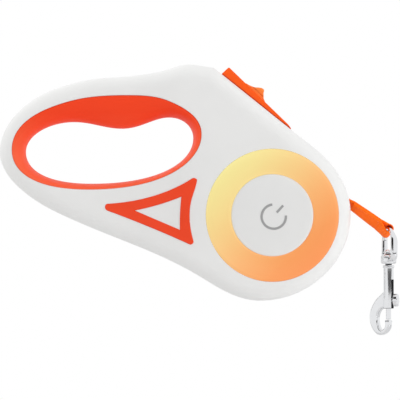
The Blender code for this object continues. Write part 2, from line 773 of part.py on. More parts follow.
def make_light(looks):
    """Ring, button and their works, in a cup that also carries the axle's lit end."""
    ring_in = BUTTON_R + SIDE_PLAY
    middle = (ring_in + LIGHT_R) / 2
    shoulder = (LIGHT_R - ring_in) / 8
    skirt_out = HOUSING_IN_R - GAP
    ring = [
        (ring_in, BODY_HALF - GAP),
        (ring_in + shoulder, BODY_HALF + LIGHT_CROWN * 0.6),
        (middle, BODY_HALF + LIGHT_CROWN),
        (LIGHT_R - shoulder, BODY_HALF + LIGHT_CROWN * 0.6),
        (LIGHT_R, BODY_HALF - GAP),
        (LIGHT_R, RING_UNDER),
        (skirt_out, RING_UNDER),
        (skirt_out, BOARD_FRONT + GAP),
        (skirt_out - SKIRT_T, BOARD_FRONT + GAP),
        (skirt_out - SKIRT_T, RING_UNDER),
        (ring_in, RING_UNDER),
    ]
    finish(turned("light_ring", ring, REEL_FRAME, FINE, ring=True), looks["lens"])

    flange_under = FLANGE_TOP - BUTTON_FLANGE_T
    button_under = BODY_HALF - BUTTON_PLATE
    rim = BUTTON_R - BUTTON_FLANGE
    button = [
        (0.0, BODY_HALF + BUTTON_CROWN),
        (BUTTON_R * 0.6, BODY_HALF + BUTTON_CROWN * 0.75),
        (rim, BODY_HALF),
        (BUTTON_R, BODY_HALF - BUTTON_CROWN),
        (BUTTON_R, FLANGE_TOP),
        (BUTTON_R + BUTTON_FLANGE, FLANGE_TOP),
        (BUTTON_R + BUTTON_FLANGE, flange_under),
        (rim, flange_under),
        (rim, button_under),
        (0.0, button_under),
    ]
    finish(turned("power_button", button, REEL_FRAME, FINE), looks["button"])

    bore = AXLE_R + GAP
    boss_r = bore + HOUSING_BOSS_WALL
    bore_end = HOUSING_INNER + AXLE_SEAT + GAP
    cup = [
        (0.0, BOARD_BACK - GAP),
        (boss_r, BOARD_BACK - GAP),
        (boss_r, HOUSING_INNER),
        (HOUSING_IN_R, HOUSING_INNER),
        (HOUSING_IN_R, BOARD_FRONT),
        (HOUSING_R, BOARD_FRONT),
        (HOUSING_R, HOUSING_BACK),
        (bore, HOUSING_BACK),
        (bore, bore_end),
        (0.0, bore_end),
    ]
    finish(turned("light_housing", cup, REEL_FRAME, FINE), looks["dark"])

    board_r = HOUSING_IN_R - GAP
    finish(rod("led_board", board_r, BOARD_BACK, BOARD_FRONT, REEL_FRAME, MEDIUM), looks["board"])
    seat = BOARD_FRONT + GAP
    half = LED_SIZE / 2
    for number in range(LED_COUNT):
        turn = Matrix.Rotation(2 * math.pi * number / LED_COUNT, 4, "Z")
        frame = REEL_FRAME @ turn @ Matrix.Translation((middle, 0.0, 0.0))
        led = block(f"led_{number + 1}", (-half, -half, seat), (half, half, seat + LED_H), frame)
        finish(led, looks["lens"])
    half = SWITCH_SIZE / 2
    finish(block("tact_switch", (-half, -half, seat), (half, half, seat + SWITCH_H), REEL_FRAME), looks["dark"])
    coil_spring(
        "button_spring", BUTTON_SPRING_R, BUTTON_SPRING_R + BUTTON_SPRING_FLARE, seat, button_under - GAP,
        BUTTON_SPRING_TURNS, BUTTON_SPRING_WIRE_R, REEL_FRAME, looks["steel"]
    )
    for number, side in ((1, -1), (2, 1)):
        place = side * (boss_r + RUN_GAP + CELL_R)
        frame = REEL_FRAME @ Matrix.Translation((place, 0.0, 0.0))
        cell = rod(f"battery_{number}", CELL_R, CELL_BACK, CELL_BACK + CELL_H, frame, MEDIUM)
        finish(cell, looks["steel"])


def toothed_loop():
    """Outline of the ratchet flange, with the middle of a gap under the pawl."""
    pitch = 2 * math.pi / TOOTH_COUNT
    pawl = PAWL_BEARING - SLOPE
    shares = ((-0.34, TOOTH_ROOT_R), (-0.2, FLANGE_R), (0.2, FLANGE_R), (0.34, TOOTH_ROOT_R))
    points = []
    for tooth in range(TOOTH_COUNT):
        middle = pawl + (tooth + 0.5) * pitch
        for share, radius in shares:
            angle = middle + share * pitch
            points.append((radius * math.cos(angle), radius * math.sin(angle)))
    return points


def circle_loop(radius, count):
    return [
        (radius * math.cos(2 * math.pi * k / count), radius * math.sin(2 * math.pi * k / count))
        for k in range(count)
    ]


def make_reel(looks):
    """Axle, drum with ratchet flange and spring barrel, bush, mainspring and its cover."""
    arbor_top = -WEB_FACE - GAP
    arbor_end = -BARREL_END
    axle_end = -COVER_FACE
    axle = [
        (0.0, HOUSING_INNER + AXLE_SEAT),
        (AXLE_R, HOUSING_INNER + AXLE_SEAT),
        (AXLE_R, arbor_top),
        (ARBOR_R, arbor_top),
        (ARBOR_R, arbor_end),
        (AXLE_R, arbor_end),
        (AXLE_R, axle_end),
        (SCREW_HOLE_R, axle_end),
        (SCREW_HOLE_R, -BODY_HALF + AXLE_SCREW_LENGTH + GAP),
        (0.0, -BODY_HALF + AXLE_SCREW_LENGTH + GAP),
    ]
    axle = turned("axle", axle, REEL_FRAME, MEDIUM)
    half_slot = SPRING_T / 2 + GAP
    slot = block(
        "arbor_slot",
        (ARBOR_R - ARBOR_SLOT_DEPTH, -half_slot, arbor_end - GAP),
        (2 * ARBOR_R, half_slot, arbor_top - GAP),
        REEL_FRAME,
    )
    cut(axle, slot)
    finish(axle, looks["steel"])

    bore = BUSH_R + GAP
    drum = [
        (bore, FLANGE_FACE - FLANGE_T / 2),
        (HUB_R, FLANGE_FACE - FLANGE_T / 2),
        (HUB_R, -DRUM_HALF),
        (BARREL_R, -DRUM_HALF),
        (BARREL_R, -BARREL_END),
        (BARREL_R - BARREL_WALL, -BARREL_END),
        (BARREL_R - BARREL_WALL, -WEB_FACE),
        (bore, -WEB_FACE),
    ]
    reel = turned("reel", drum, REEL_FRAME, FINE, ring=True)
    flange = plate(
        "ratchet_flange", [toothed_loop(), circle_loop(bore + GAP, COARSE)], DRUM_HALF, FLANGE_FACE, REEL_FRAME
    )
    join(reel, flange)
    finish(reel, looks["inner"])
    bush = [
        (BUSH_IN_R, FLANGE_FACE), (BUSH_R, FLANGE_FACE), (BUSH_R, -WEB_FACE), (BUSH_IN_R, -WEB_FACE)
    ]
    finish(turned("reel_bush", bush, REEL_FRAME, MEDIUM, ring=True), looks["brass"])
    cover_in = -BARREL_END - GAP
    cover = [
        (AXLE_R + GAP, cover_in), (BARREL_R, cover_in), (BARREL_R, -COVER_FACE), (AXLE_R + GAP, -COVER_FACE)
    ]
    finish(turned("spring_cover", cover, REEL_FRAME, MEDIUM, ring=True), looks["inner"])
    make_mainspring(looks, arbor_top - GAP)


def make_mainspring(looks, top):
    """A strip wound from the arbor's slot out to the barrel wall."""
    per_turn = 16
    inner = ARBOR_R + GAP + SPRING_T / 2
    outer = BARREL_R - BARREL_WALL - GAP - SPRING_T / 2
    count = SPRING_TURNS * per_turn
    line = [Vector((ARBOR_R - ARBOR_SLOT_DEPTH + GAP, 0.0))]
    for k in range(count + 1):
        angle = 2 * math.pi * k / per_turn
        radius = inner + (outer - inner) * k / count
        if k > 0:
            line.append(Vector((radius * math.cos(angle), radius * math.sin(angle))))
        else:
            line.append(Vector((ARBOR_R, 0.0)))
    least_gap("mainspring", line, SPRING_T, 2 * math.pi * inner * 0.7)
    edges = ([], [])
    for k, point in enumerate(line):
        along = (line[min(k + 1, len(line) - 1)] - line[max(k - 1, 0)]).normalized()
        across = Vector((-along.y, along.x)) * SPRING_T / 2
        edges[0].append(point + across)
        edges[1].append(point - across)
    loop = edges[0] + list(reversed(edges[1]))
    strip = plate("mainspring", [loop], top - SPRING_W + GAP, top - GAP, REEL_FRAME)
    finish(strip, looks["steel"])


def make_tape_pack(looks):
    """The wound tape: a plain core whose outer turn steps down under the tape that leaves it."""
    count = 60
    top = COIL_R + TAPE_T / 2
    under = COIL_R - TAPE_T / 2 - GAP
    loop = []
    for k in range(count + 1):
        share = k / count
        angle = math.pi / 2 + GAP / COIL_R + share * (2 * math.pi - GAP / COIL_R)
        radius = top + (under - top) * share
        loop.append((radius * math.cos(angle), radius * math.sin(angle)))
    hole = circle_loop(HUB_R + GAP, FINE)
    pack = plate("tape_pack", [loop, hole], -TAPE_W / 2, TAPE_W / 2, TAPE_FRAME)
    finish(pack, looks["tape"])


def tape_twist(run):
    """Turn of the tape about its own line, by the distance from where it leaves the coil."""
    return TAPE_TWIST * smoothstep((run - TWIST_START) / (TWIST_END - TWIST_START))


def ribbon(name, stretches):
    """A twisted tape in one piece: each stretch has a start, an end, a thickness and a number of steps."""
    sections = []
    for start, end, thickness, steps in stretches:
        for k in range(steps + 1):
            run = start + (end - start) * k / steps
            turn = -tape_twist(run)
            flat = Vector((math.sin(turn), math.cos(turn))) * TAPE_W / 2
            thick = Vector((math.cos(turn), -math.sin(turn))) * thickness / 2
            corners = (flat + thick, flat - thick, -flat - thick, -flat + thick)
            sections.append([(run, COIL_R + c.x, c.y) for c in corners])
    return loft(name, sections, TAPE_FRAME)


TAPE_UP = (TAPE_FRAME.to_3x3() @ Vector((0, 1, 0))).normalized()
LOOP_AXIS = Vector((0, 1, 0)) * math.cos(TAPE_TWIST) + TAPE_UP * math.sin(TAPE_TWIST)
LOOP_PLACE = TAPE_FRAME @ Vector((TAPE_RUN, COIL_R, 0.0))
EYE_SAG = EYE_R - math.sqrt(EYE_R**2 - (TAPE_W / 2) ** 2)
LOOP_HOLE_R = EYE_WIRE_R + EYE_SAG / 2 + GAP
LOOP_R = LOOP_HOLE_R + TAPE_T

# The eye hangs upright: its flat direction is the loop's own, laid level
EYE_ACROSS = Vector((LOOP_AXIS.x, LOOP_AXIS.y, 0.0)).normalized()
EYE_OUT = EYE_ACROSS * -LOOP_AXIS.z + Vector((0, 0, 1)) * math.sqrt(1 - LOOP_AXIS.z**2)
EYE_MIDDLE = LOOP_PLACE - EYE_OUT * (EYE_R - EYE_SAG / 2)
SNAP_TOP = EYE_MIDDLE - Vector((0, 0, EYE_DROP + SWIVEL_H / 2 + GAP))
SNAP_FRAME = Matrix.Translation(SNAP_TOP) @ Matrix.Rotation(SNAP_TURN, 4, "Z")


def make_tape_end(looks):
    """The free tape: a single run through the mouth, then the folded end with its loop."""
    single = (GAP, FOLD_START - GAP, TAPE_T, 10)
    folded = (FOLD_START, TAPE_RUN, FOLD_T, 8)
    leader = ribbon("tape_leader", [single, folded])
    loop_frame = place_along(LOOP_PLACE, LOOP_AXIS)
    half_loop = TAPE_W / 2 - GAP / 2
    join(leader, rod("tape_loop", LOOP_R, -half_loop, half_loop, loop_frame))
    cut(leader, rod("tape_loop_hole", LOOP_HOLE_R, -TAPE_W, TAPE_W, loop_frame))
    finish(leader, looks["tape"])

    guide = guide_block("tape_guide", 0.0)
    outside = plate("guide_outside", [CASE_LOOP], -BODY_HALF, BODY_HALF, CASE_FRAME, rounding=EDGE_ROUND)
    boolean(guide, outside, "INTERSECT")
    cut(guide, rod("guide_inside", CASE_R - GUIDE_T, -BODY_HALF, BODY_HALF, REEL_FRAME, 2 * FINE))
    slot = block(
        "mouth_slot",
        (0.0, COIL_R - MOUTH_H / 2, -MOUTH_W / 2),
        (2 * CASE_R, COIL_R + MOUTH_H / 2, MOUTH_W / 2),
        TAPE_FRAME,
    )
    cut(guide, slot)
    finish(guide, looks["inner"])


def make_brake(looks):
    """Lever with its pawl, pivot pin and return spring, and the lock slider on top."""
    rear = (-PIN_S, PIN_DEPTH)
    skirt = PIN_DEPTH - LEVER_SKIRT
    nose = PIN_BACK
    profile = [
        (rear[0], skirt),
        (nose - GAP, skirt),
        (nose, PIN_DEPTH - LEVER_NOSE_H),
        (nose - LEVER_NOSE_H, PIN_DEPTH + LEVER_NOSE_H / 2),
        (0.0, PIN_DEPTH + LEVER_NOSE_H),
        (rear[0] + GAP, PIN_DEPTH + LEVER_H),
        (rear[0], PIN_DEPTH + LEVER_H - GAP),
    ]
    lever = plate("brake_lever", [profile], -LEVER_W / 2, LEVER_W / 2, LEVER_FRAME)
    join(lever, make_pawl(skirt))
    cut(lever, rod("lever_eye", PIN_R + GAP, -LEVER_W, LEVER_W, LEVER_FRAME))
    side = LEVER_W / 2 + GAP + PIN_SEAT
    finish(rod("brake_pin", PIN_R, -side, side, LEVER_FRAME), looks["steel"])

    spring_end = skirt - GAP
    spring_frame = LEVER_FRAME @ Matrix.Translation((-BRAKE_SPRING_BACK, 0, 0)) @ Matrix.Rotation(-math.pi / 2, 4, "X")
    coil_spring(
        "brake_spring", BRAKE_SPRING_R, BRAKE_SPRING_R, spring_end - BRAKE_SPRING_LENGTH, spring_end,
        BRAKE_SPRING_TURNS, BRAKE_SPRING_WIRE_R, spring_frame, looks["steel"]
    )
    make_slider(lever, looks, skirt)
    finish(lever, looks["lever"])


def make_pawl(skirt):
    """The leg under the lever whose tip stands over a gap of the ratchet flange."""
    to_lever = LEVER_FRAME.inverted() @ SLOPE_AT_REEL
    out = Vector((math.cos(PAWL_BEARING), math.sin(PAWL_BEARING), 0.0))
    side = Vector((-out.y, out.x, 0.0))
    tip = out * (FLANGE_R + PAWL_GAP)
    tip_back = to_lever @ (tip + side * PAWL_TIP / 2)
    tip_front = to_lever @ (tip - side * PAWL_TIP / 2)
    leg_rear = -PAWL_SET_BACK + PAWL_LEG / 2 - PAWL_LEG
    leg_front = leg_rear + PAWL_LEG
    loop = [
        (leg_rear, skirt + WALL),
        (leg_rear, tip_back.y + PAWL_LEG),
        (tip_back.x, tip_back.y),
        (tip_front.x, tip_front.y),
        (leg_front, tip_front.y + PAWL_LEG),
        (leg_front, skirt + WALL),
    ]
    middle = (DRUM_HALF + FLANGE_FACE) / 2
    return plate("pawl_leg", [loop], middle - PAWL_W / 2, middle + PAWL_W / 2, LEVER_FRAME)


def make_slider(lever, looks, skirt):
    """The thumb nub: it slides along the lever's top on a stem that snaps in under the lever."""
    place = SLIDER_PLACE - PIN_S
    top = PIN_DEPTH + LEVER_NOSE_H - place * math.tan(LEVER_TILT)
    frame = LEVER_FRAME @ Matrix.Translation((place, top, 0.0)) @ Matrix.Rotation(-LEVER_TILT, 4, "Z")
    front_mm = SLIDER_FRONT / MM
    tail_mm = SLIDER_TAIL / MM
    height_mm = SLIDER_H / MM
    low_mm = GAP / MM
    crest = [
        smooth(front_mm, low_mm + 0.1, 155, 0.1, 0.6),
        smooth(0.48 * front_mm, 0.4 * height_mm, 130, 1.2, 0.9),
        smooth(0.2 * front_mm, 0.8 * height_mm, 110, 0.8, 0.4),
        smooth(0.0, height_mm, 180, 0.5, 0.4),
        smooth(-0.15 * tail_mm, 0.94 * height_mm, 207, 0.5, 1.2),
        smooth(-0.58 * tail_mm, 0.29 * height_mm, 200, 1.6, 1.2),
        smooth(-tail_mm, low_mm + 0.2, 186, 1.4, 0.1),
    ]
    base = [Vector((-SLIDER_TAIL, GAP)), Vector((SLIDER_FRONT, GAP))]
    loop = base + bezier_points(crest, 3, closed=False)
    slider = plate("lock_slider", [loop], -SLIDER_W / 2, SLIDER_W / 2, frame)
    half = SLIDER_STEM / 2
    half_w = SLIDER_STEM_W / 2
    snap_top = skirt - top - GAP - SLIDER_TRAVEL * math.tan(LEVER_TILT)
    snap_end = snap_top - SLIDER_SNAP_T
    join(slider, block("slider_stem", (-half, snap_end, -half_w), (half, 2 * GAP, half_w), frame))
    snap_w = half_w + GAP + SLIDER_SNAP
    long = half + GAP
    join(slider, block("slider_snap", (-long, snap_end - GAP, -snap_w), (long, snap_top - GAP, snap_w), frame))
    finish(slider, looks["lever"])
    slot = block(
        "slider_slot",
        (-half - 2 * GAP, snap_end - LEVER_SKIRT, -half_w - GAP),
        (half + SLIDER_TRAVEL + 2 * GAP, 2 * SLIDER_H, half_w + GAP),
        frame,
    )
    cut(lever, slot)


def make_eye(looks):
    """The swivel eye: a wire stirrup with a drilled boss below."""
    points = []
    for k in range(13):
        angle = math.pi * k / 12
        points.append((EYE_R * math.cos(angle), 0.0, EYE_R * math.sin(angle)))
    side = EYE_R - EYE_CORNER_R
    for centre, start in ((-side, math.pi), (side, 1.5 * math.pi)):
        for k in range(4):
            angle = start + math.pi / 2 * k / 3
            across = centre + EYE_CORNER_R * math.cos(angle)
            points.append((across, 0.0, EYE_CORNER_R - EYE_DROP + EYE_CORNER_R * math.sin(angle)))
    turn = math.atan2(EYE_ACROSS.y, EYE_ACROSS.x)
    frame = Matrix.Translation(EYE_MIDDLE) @ Matrix.Rotation(turn, 4, "Z")
    eye = wire("hook_eye", points, EYE_WIRE_R, frame, closed=True)
    low = -EYE_DROP - SWIVEL_H / 2
    high = -EYE_DROP + SWIVEL_H / 2
    join(eye, rod("eye_boss", SWIVEL_R, low, high, frame))
    cut(eye, rod("eye_bore", STEM_R + GAP, low - SWIVEL_H, high + GAP, frame))
    finish(eye, looks["chrome"])


def hook_line():
    """Middle line of the hook's arm, from the barrel round to the tip below the bolt."""
    reach = HOOK_REACH / MM
    depth = HOOK_DEPTH / MM
    root = HOOK_ROOT / MM
    tip = HOOK_TIP / MM
    anchors = [
        smooth(-1.9, -root, -128, 3, 5),
        smooth(-reach, -0.76 * depth, -90, 6, 4.4),
        smooth(-0.45 * reach, -depth, 0, 2.2, 2.2),
        smooth(0.0, -tip, 90, 3.6, 1),
    ]
    return [(p.x, 0.0, p.y) for p in bezier_points(anchors, 6, closed=False)]


def hook_web(line):
    """Flat web in the corner between the barrel and the arm, up to the arm's middle line."""
    low = HOOK_WEB_RISE - SNAP_BARREL_LENGTH
    loop = [(x, z) for x, _, z in line if z > low]
    loop += [(loop[-1][0], low), (0.0, low), (0.0, loop[0][1])]
    frame = SNAP_FRAME @ Matrix.Rotation(math.pi / 2, 4, "X")
    return plate("hook_web", [loop], -HOOK_WEB_T / 2, HOOK_WEB_T / 2, frame)


def make_snap(looks):
    """Hook body on its swivel stem, the sprung bolt and its spring."""
    head_low = SWIVEL_H + 2 * GAP
    profile = [
        (0.0, head_low + STEM_HEAD_H),
        (STEM_HEAD_R * 0.7, head_low + STEM_HEAD_H),
        (STEM_HEAD_R, head_low + STEM_HEAD_H / 2),
        (STEM_HEAD_R, head_low),
        (STEM_R, head_low),
        (STEM_R, 0.0),
        (BARREL_COLLAR_R, 0.0),
        (BARREL_COLLAR_R, -BARREL_COLLAR_H),
        (SNAP_BARREL_R, -BARREL_COLLAR_H - GAP),
        (SNAP_BARREL_R, -SNAP_BARREL_LENGTH),
        (0.0, -SNAP_BARREL_LENGTH),
    ]
    hook = turned("hook_body", profile, SNAP_FRAME, COARSE)
    line = hook_line()
    join(hook, hook_web(line))
    join(hook, wire("hook_arm", line, HOOK_WIRE_R, SNAP_FRAME))
    bore_low = -SNAP_BARREL_LENGTH - HOOK_WIRE_R
    cut(hook, rod("bolt_bore", BOLT_BORE_R, bore_low, -SNAP_BORE_TOP, SNAP_FRAME))
    half_slot = KNOB_STEM_R + GAP
    slot = block(
        "bolt_slot", (0.0, -half_slot, bore_low), (2 * SNAP_BARREL_R, half_slot, -BOLT_SLOT_TOP), SNAP_FRAME
    )
    cut(hook, slot)
    finish(hook, looks["chrome"])

    bolt = rod("hook_bolt", BOLT_R, -HOOK_TIP + GAP, -BOLT_TOP, SNAP_FRAME)
    knob_in = SNAP_BARREL_R + GAP
    stem_frame = SNAP_FRAME @ Matrix.Translation((0, 0, -KNOB_DEPTH)) @ Matrix.Rotation(math.pi / 2, 4, "Y")
    join(bolt, rod("knob_stem", KNOB_STEM_R, 0.0, knob_in + KNOB_T / 2, stem_frame, 12))
    half_h = KNOB_H / 2 / MM
    half_w = KNOB_W / 2 / MM
    oval = [
        smooth(half_h, 0.0, 90, 0.55 * half_w, 0.55 * half_w),
        smooth(0.0, half_w, 180, 0.55 * half_h, 0.55 * half_h),
        smooth(-half_h, 0.0, 270, 0.55 * half_w, 0.55 * half_w),
        smooth(0.0, -half_w, 0, 0.55 * half_h, 0.55 * half_h),
    ]
    loop = bezier_points(oval, 4)
    knob = plate("bolt_knob", [loop], knob_in, knob_in + KNOB_T, stem_frame, rounding=KNOB_T / 4)
    join(bolt, knob)
    finish(bolt, looks["chrome"])
    coil_r = BOLT_BORE_R - GAP - BOLT_SPRING_WIRE_R
    coil_spring(
        "bolt_spring", coil_r, coil_r, -BOLT_TOP + GAP, -SNAP_BORE_TOP - GAP,
        BOLT_SPRING_TURNS, BOLT_SPRING_WIRE_R, SNAP_FRAME, looks["steel"]
    )


def make_screws(looks):
    """The case screws and the screw that holds the axle, all put in from the back."""
    places = []
    for number, (x, z) in enumerate(SCREW_PLACES, 1):
        places.append((f"case_screw_{number}", x, z, screw_half(x) - SCREW_SINK, SCREW_REACH))
    places.append(("axle_screw", REEL_X, REEL_Z, BODY_HALF - AXLE_SCREW_SINK, AXLE_SCREW_LENGTH - BODY_HALF))
    for name, x, z, top, end in places:
        profile = [
            (0.0, end),
            (SCREW_R, end),
            (SCREW_R, SCREW_HEAD_T - top),
            (SCREW_HEAD_R, SCREW_HEAD_T - top),
            (SCREW_HEAD_R, -top),
            (0.0, -top),
        ]
        finish(turned(name, profile, side_frame(x, z), 12), looks["steel"])


def main():
    looks = make_looks()
    make_shells(looks)
    make_grips(looks)
    make_trims(looks)
    make_light(looks)
    make_reel(looks)
    make_tape_pack(looks)
    make_tape_end(looks)
    make_brake(looks)
    make_eye(looks)
    make_snap(looks)
    make_screws(looks)


main()
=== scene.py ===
"""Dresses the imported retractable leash: fine casing, grip, lit ring, brake, woven tape and chrome snap.

Everything is in metres in the part's own frame.
+X runs to the tape mouth, +Z is up and -Y is the lit side.
"""

import math

import bmesh
import bpy
from mathutils import Matrix, Vector


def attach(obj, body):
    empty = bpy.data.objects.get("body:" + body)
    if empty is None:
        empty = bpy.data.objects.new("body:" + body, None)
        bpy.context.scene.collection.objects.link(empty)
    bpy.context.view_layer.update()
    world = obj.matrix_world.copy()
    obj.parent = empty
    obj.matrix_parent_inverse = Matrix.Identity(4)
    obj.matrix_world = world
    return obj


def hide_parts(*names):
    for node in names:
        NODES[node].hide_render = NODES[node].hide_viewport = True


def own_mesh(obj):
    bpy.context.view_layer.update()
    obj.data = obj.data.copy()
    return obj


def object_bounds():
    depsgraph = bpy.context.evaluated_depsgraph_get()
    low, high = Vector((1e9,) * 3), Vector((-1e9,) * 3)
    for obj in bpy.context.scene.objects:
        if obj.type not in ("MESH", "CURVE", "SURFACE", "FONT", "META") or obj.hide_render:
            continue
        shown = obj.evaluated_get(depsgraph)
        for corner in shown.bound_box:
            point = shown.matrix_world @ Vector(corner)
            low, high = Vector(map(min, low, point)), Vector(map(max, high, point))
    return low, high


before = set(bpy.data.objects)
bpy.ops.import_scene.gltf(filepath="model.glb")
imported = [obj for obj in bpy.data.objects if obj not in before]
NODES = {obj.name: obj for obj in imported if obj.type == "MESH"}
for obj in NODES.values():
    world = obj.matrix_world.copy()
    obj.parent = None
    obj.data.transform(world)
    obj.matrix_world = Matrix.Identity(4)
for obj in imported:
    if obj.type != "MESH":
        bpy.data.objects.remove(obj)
CAD_LOW, CAD_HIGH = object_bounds()

MM = 0.001

# Sizes shared with the solids
GAP = 0.3 * MM
WALL = 2.2 * MM
EDGE_ROUND = 8.0 * MM
HANDLE_HALF = 13.0 * MM
BODY_HALF = 17.0 * MM
INNER_HALF = BODY_HALF - WALL
TAPER_START = 12.0 * MM
TAPER_LENGTH = 28.0 * MM
REEL_X = 82.1 * MM
REEL_Z = -31.6 * MM
CASE_R = 39.2 * MM
CASE_DROP = CASE_R + 3.5 * MM
COVER_FACE = 13.7 * MM
AXLE_BOSS_R = 6.0 * MM
LIGHT_R = 33.2 * MM
RING_UNDER = 15.4 * MM
BOARD_SEAT = 13.2 * MM
SKIRT_OUT = 32.8 * MM
SKIRT_IN = 31.0 * MM
BUTTON_R = 20.5 * MM
BUTTON_UNDER = 15.6 * MM
BUTTON_FLANGE_TOP = 15.0 * MM
BUTTON_FLANGE_UNDER = 14.2 * MM
BUTTON_FLANGE_R = 22.2 * MM
BUTTON_SKIRT_R = 18.8 * MM
GRIP_LIP = 2.0 * MM
GRIP_SINK = 0.3 * MM
TRIM_T = 1.4 * MM
TRIM_PROUD = 0.4 * MM
SCREW_SINK = 3.0 * MM
SCREW_HEAD_R = 2.6 * MM
SCREW_HEAD_T = 1.4 * MM
SCREW_R = 1.2 * MM
AXLE_SCREW_SINK = 0.4 * MM
SCREW_PLACES = (
    (-40.0 * MM, -17.0 * MM),
    (-13.0 * MM, -27.5 * MM),
    (6.0 * MM, -37.5 * MM),
    (45.0 * MM, 31.0 * MM),
    (REEL_X - 0.857 * CASE_R, REEL_Z - 0.597 * CASE_R),
)
SCREW_REACH = 6.0 * MM
BOSS_WALL = 1.1 * MM
AXLE_SCREW_LENGTH = 8.0 * MM
SLOPE = math.radians(38.7)
LEVER_BACK = 63.6 * MM
CORNER_BACK = 5.2 * MM
LEVER_LENGTH = 44.5 * MM
LEVER_W = 14.0 * MM
LEVER_H = 5.1 * MM
LEVER_NOSE_H = 1.2 * MM
LEVER_SKIRT = 4.0 * MM
LEVER_REAR_GAP = 1.0 * MM
PIN_S = 41.5 * MM
PIN_DEPTH = 1.6 * MM
PIN_R = 1.2 * MM
PIN_SEAT = 2.6 * MM
PIVOT_BOSS_LENGTH = 6.0 * MM
PIVOT_BOSS_DEPTH = 4.6 * MM
SPRING_RIB_LOW = (4.5 * MM, -14.0 * MM)
SPRING_RIB_HIGH = (11.5 * MM, -12.0 * MM)
LEVER_TILT = math.atan2(LEVER_H - LEVER_NOSE_H, PIN_S)
FLANGE_R = 34.5 * MM
DRUM_HALF = 4.4 * MM
FLANGE_FACE = 6.0 * MM
HUB_R = 13.0 * MM
PAWL_BEARING = math.radians(143.0)
PAWL_GAP = 0.5 * MM
PAWL_TIP = 2.0 * MM
PAWL_W = 2.8 * MM
PAWL_LEG = 3.8 * MM
PAWL_SET_BACK = 12.9 * MM
BRAKE_SPRING_BACK = 33.5 * MM
BRAKE_SPRING_LENGTH = 7.4 * MM
BRAKE_SPRING_R = 2.5 * MM
SLIDER_PLACE = 20.0 * MM
SLIDER_FRONT = 5.3 * MM
SLIDER_TAIL = 7.8 * MM
SLIDER_H = 4.1 * MM
SLIDER_W = 9.0 * MM
SLIDER_TRAVEL = 4.0 * MM
SLIDER_STEM = 3.0 * MM
SLIDER_STEM_W = 3.0 * MM
SLIDER_SNAP = 0.6 * MM
SLIDER_SNAP_T = 1.4 * MM
TAPE_W = 8.0 * MM
TAPE_T = 0.8 * MM
TAPE_DROP = math.radians(36.0)
COIL_R = 27.5 * MM
TAPE_RUN = 51.1 * MM
TWIST_START = 4.0 * MM
TWIST_END = 30.0 * MM
TAPE_TWIST = math.radians(-24.0)
FOLD_START = 29.8 * MM
FLARE = 5.5 * MM
GUIDE_WALL = 1.4 * MM
GUIDE_T = 3.6 * MM
MOUTH_W = 9.0 * MM
MOUTH_H = 4.8 * MM
EYE_R = 8.0 * MM
EYE_WIRE_R = 1.0 * MM
EYE_DROP = 7.2 * MM
SWIVEL_R = 4.0 * MM
SWIVEL_H = 4.6 * MM
STEM_R = 1.6 * MM
STEM_HEAD_R = 2.6 * MM
STEM_HEAD_H = 2.2 * MM
SWIVEL_PLAY = 0.3 * MM
COLLAR_R = 3.0 * MM
SNAP_TURN = math.radians(-30.0)
SNAP_BARREL_R = 2.6 * MM
SNAP_BARREL_LENGTH = 22.0 * MM
SNAP_BORE_TOP = 2.5 * MM
HOOK_T = 3.6 * MM
HOOK_TIP = 27.7 * MM
BOLT_R = 1.3 * MM
BOLT_TOP = 12.0 * MM
BOLT_SLOT_TOP = 7.5 * MM
KNOB_DEPTH = 17.8 * MM
KNOB_H = 6.4 * MM
KNOB_W = 3.4 * MM
KNOB_T = 2.7 * MM
KNOB_STEM_R = 0.95 * MM

# Sizes of the finer detail
SNUG = 0.04 * MM
SOFT_EDGE = 0.45 * MM
WINDOW_SOFT = 0.3 * MM
GUIDE_SOFT = 0.3 * MM
LIGHT_SOFT = 0.35 * MM
CROWN = 0.9 * MM
CROWN_DROP = 0.22
GROOVE_H = 0.5 * MM
GROOVE_DEPTH = 1.0 * MM
NUB_BASE_H = 1.1 * MM
NUB_GROOVE = 0.3 * MM
MARK_R = 6.05 * MM
MARK_HALF = 0.6 * MM
MARK_PROUD = 0.14 * MM
MORE_START = 24.0 * MM
TWIST_MORE = math.radians(-12.5)
LOOP_SLACK = 0.2 * MM
THREAD_R = 0.16 * MM
WEAVE_UNIT = 10 * MM
EYE_BOW = 0.7 * MM
EYE_SWELL = 0.15
EYE_FAR_BROAD = 0.8
EYE_NEAR_BROAD = 0.5
EYE_FOOT_BROAD = 0.7
BRAKE_WIRE_R = 0.35 * MM
BUTTON_WIRE_R = 0.3 * MM
BUTTON_SPRING_R = 7 * MM
BUTTON_SPRING_FLARE = 3 * MM
BOLT_WIRE_R = 0.22 * MM

# Fineness of the dressed pieces
OUTLINE_STEPS = 14
CREST_STEPS = 5
SLOPE_STEPS = 6
CASE_STEPS = [OUTLINE_STEPS] * 4 + [CREST_STEPS, SLOPE_STEPS] + [OUTLINE_STEPS] * 6
GRID = 3.0 * MM
CASE_GRID = ((-56 * MM, -76 * MM), (122 * MM, 45 * MM))
TRIM_GRID = ((-4 * MM, -48 * MM), (46 * MM, -12 * MM))
ROUND_STEPS = 7
FINE = 128
MEDIUM = 48
ROLL_STEPS = 14
RUN_STEPS = 60
BEND_STEPS = 24
TURN_STEPS = 40
WELD = 1e-7
NEAR = 1e-6

QUARTER = math.pi / 2
UP = Vector((0, 0, 1))
HOME = Matrix.Identity(4)
UPRIGHT = Matrix.Rotation(QUARTER, 4, "X")


def side_frame(x, z, drop=0.0):
    """Frame of a side view: local x along +X turned down by drop, local y up, local z to the lit side."""
    return Matrix.Translation((x, 0.0, z)) @ Matrix.Rotation(drop, 4, "Y") @ UPRIGHT


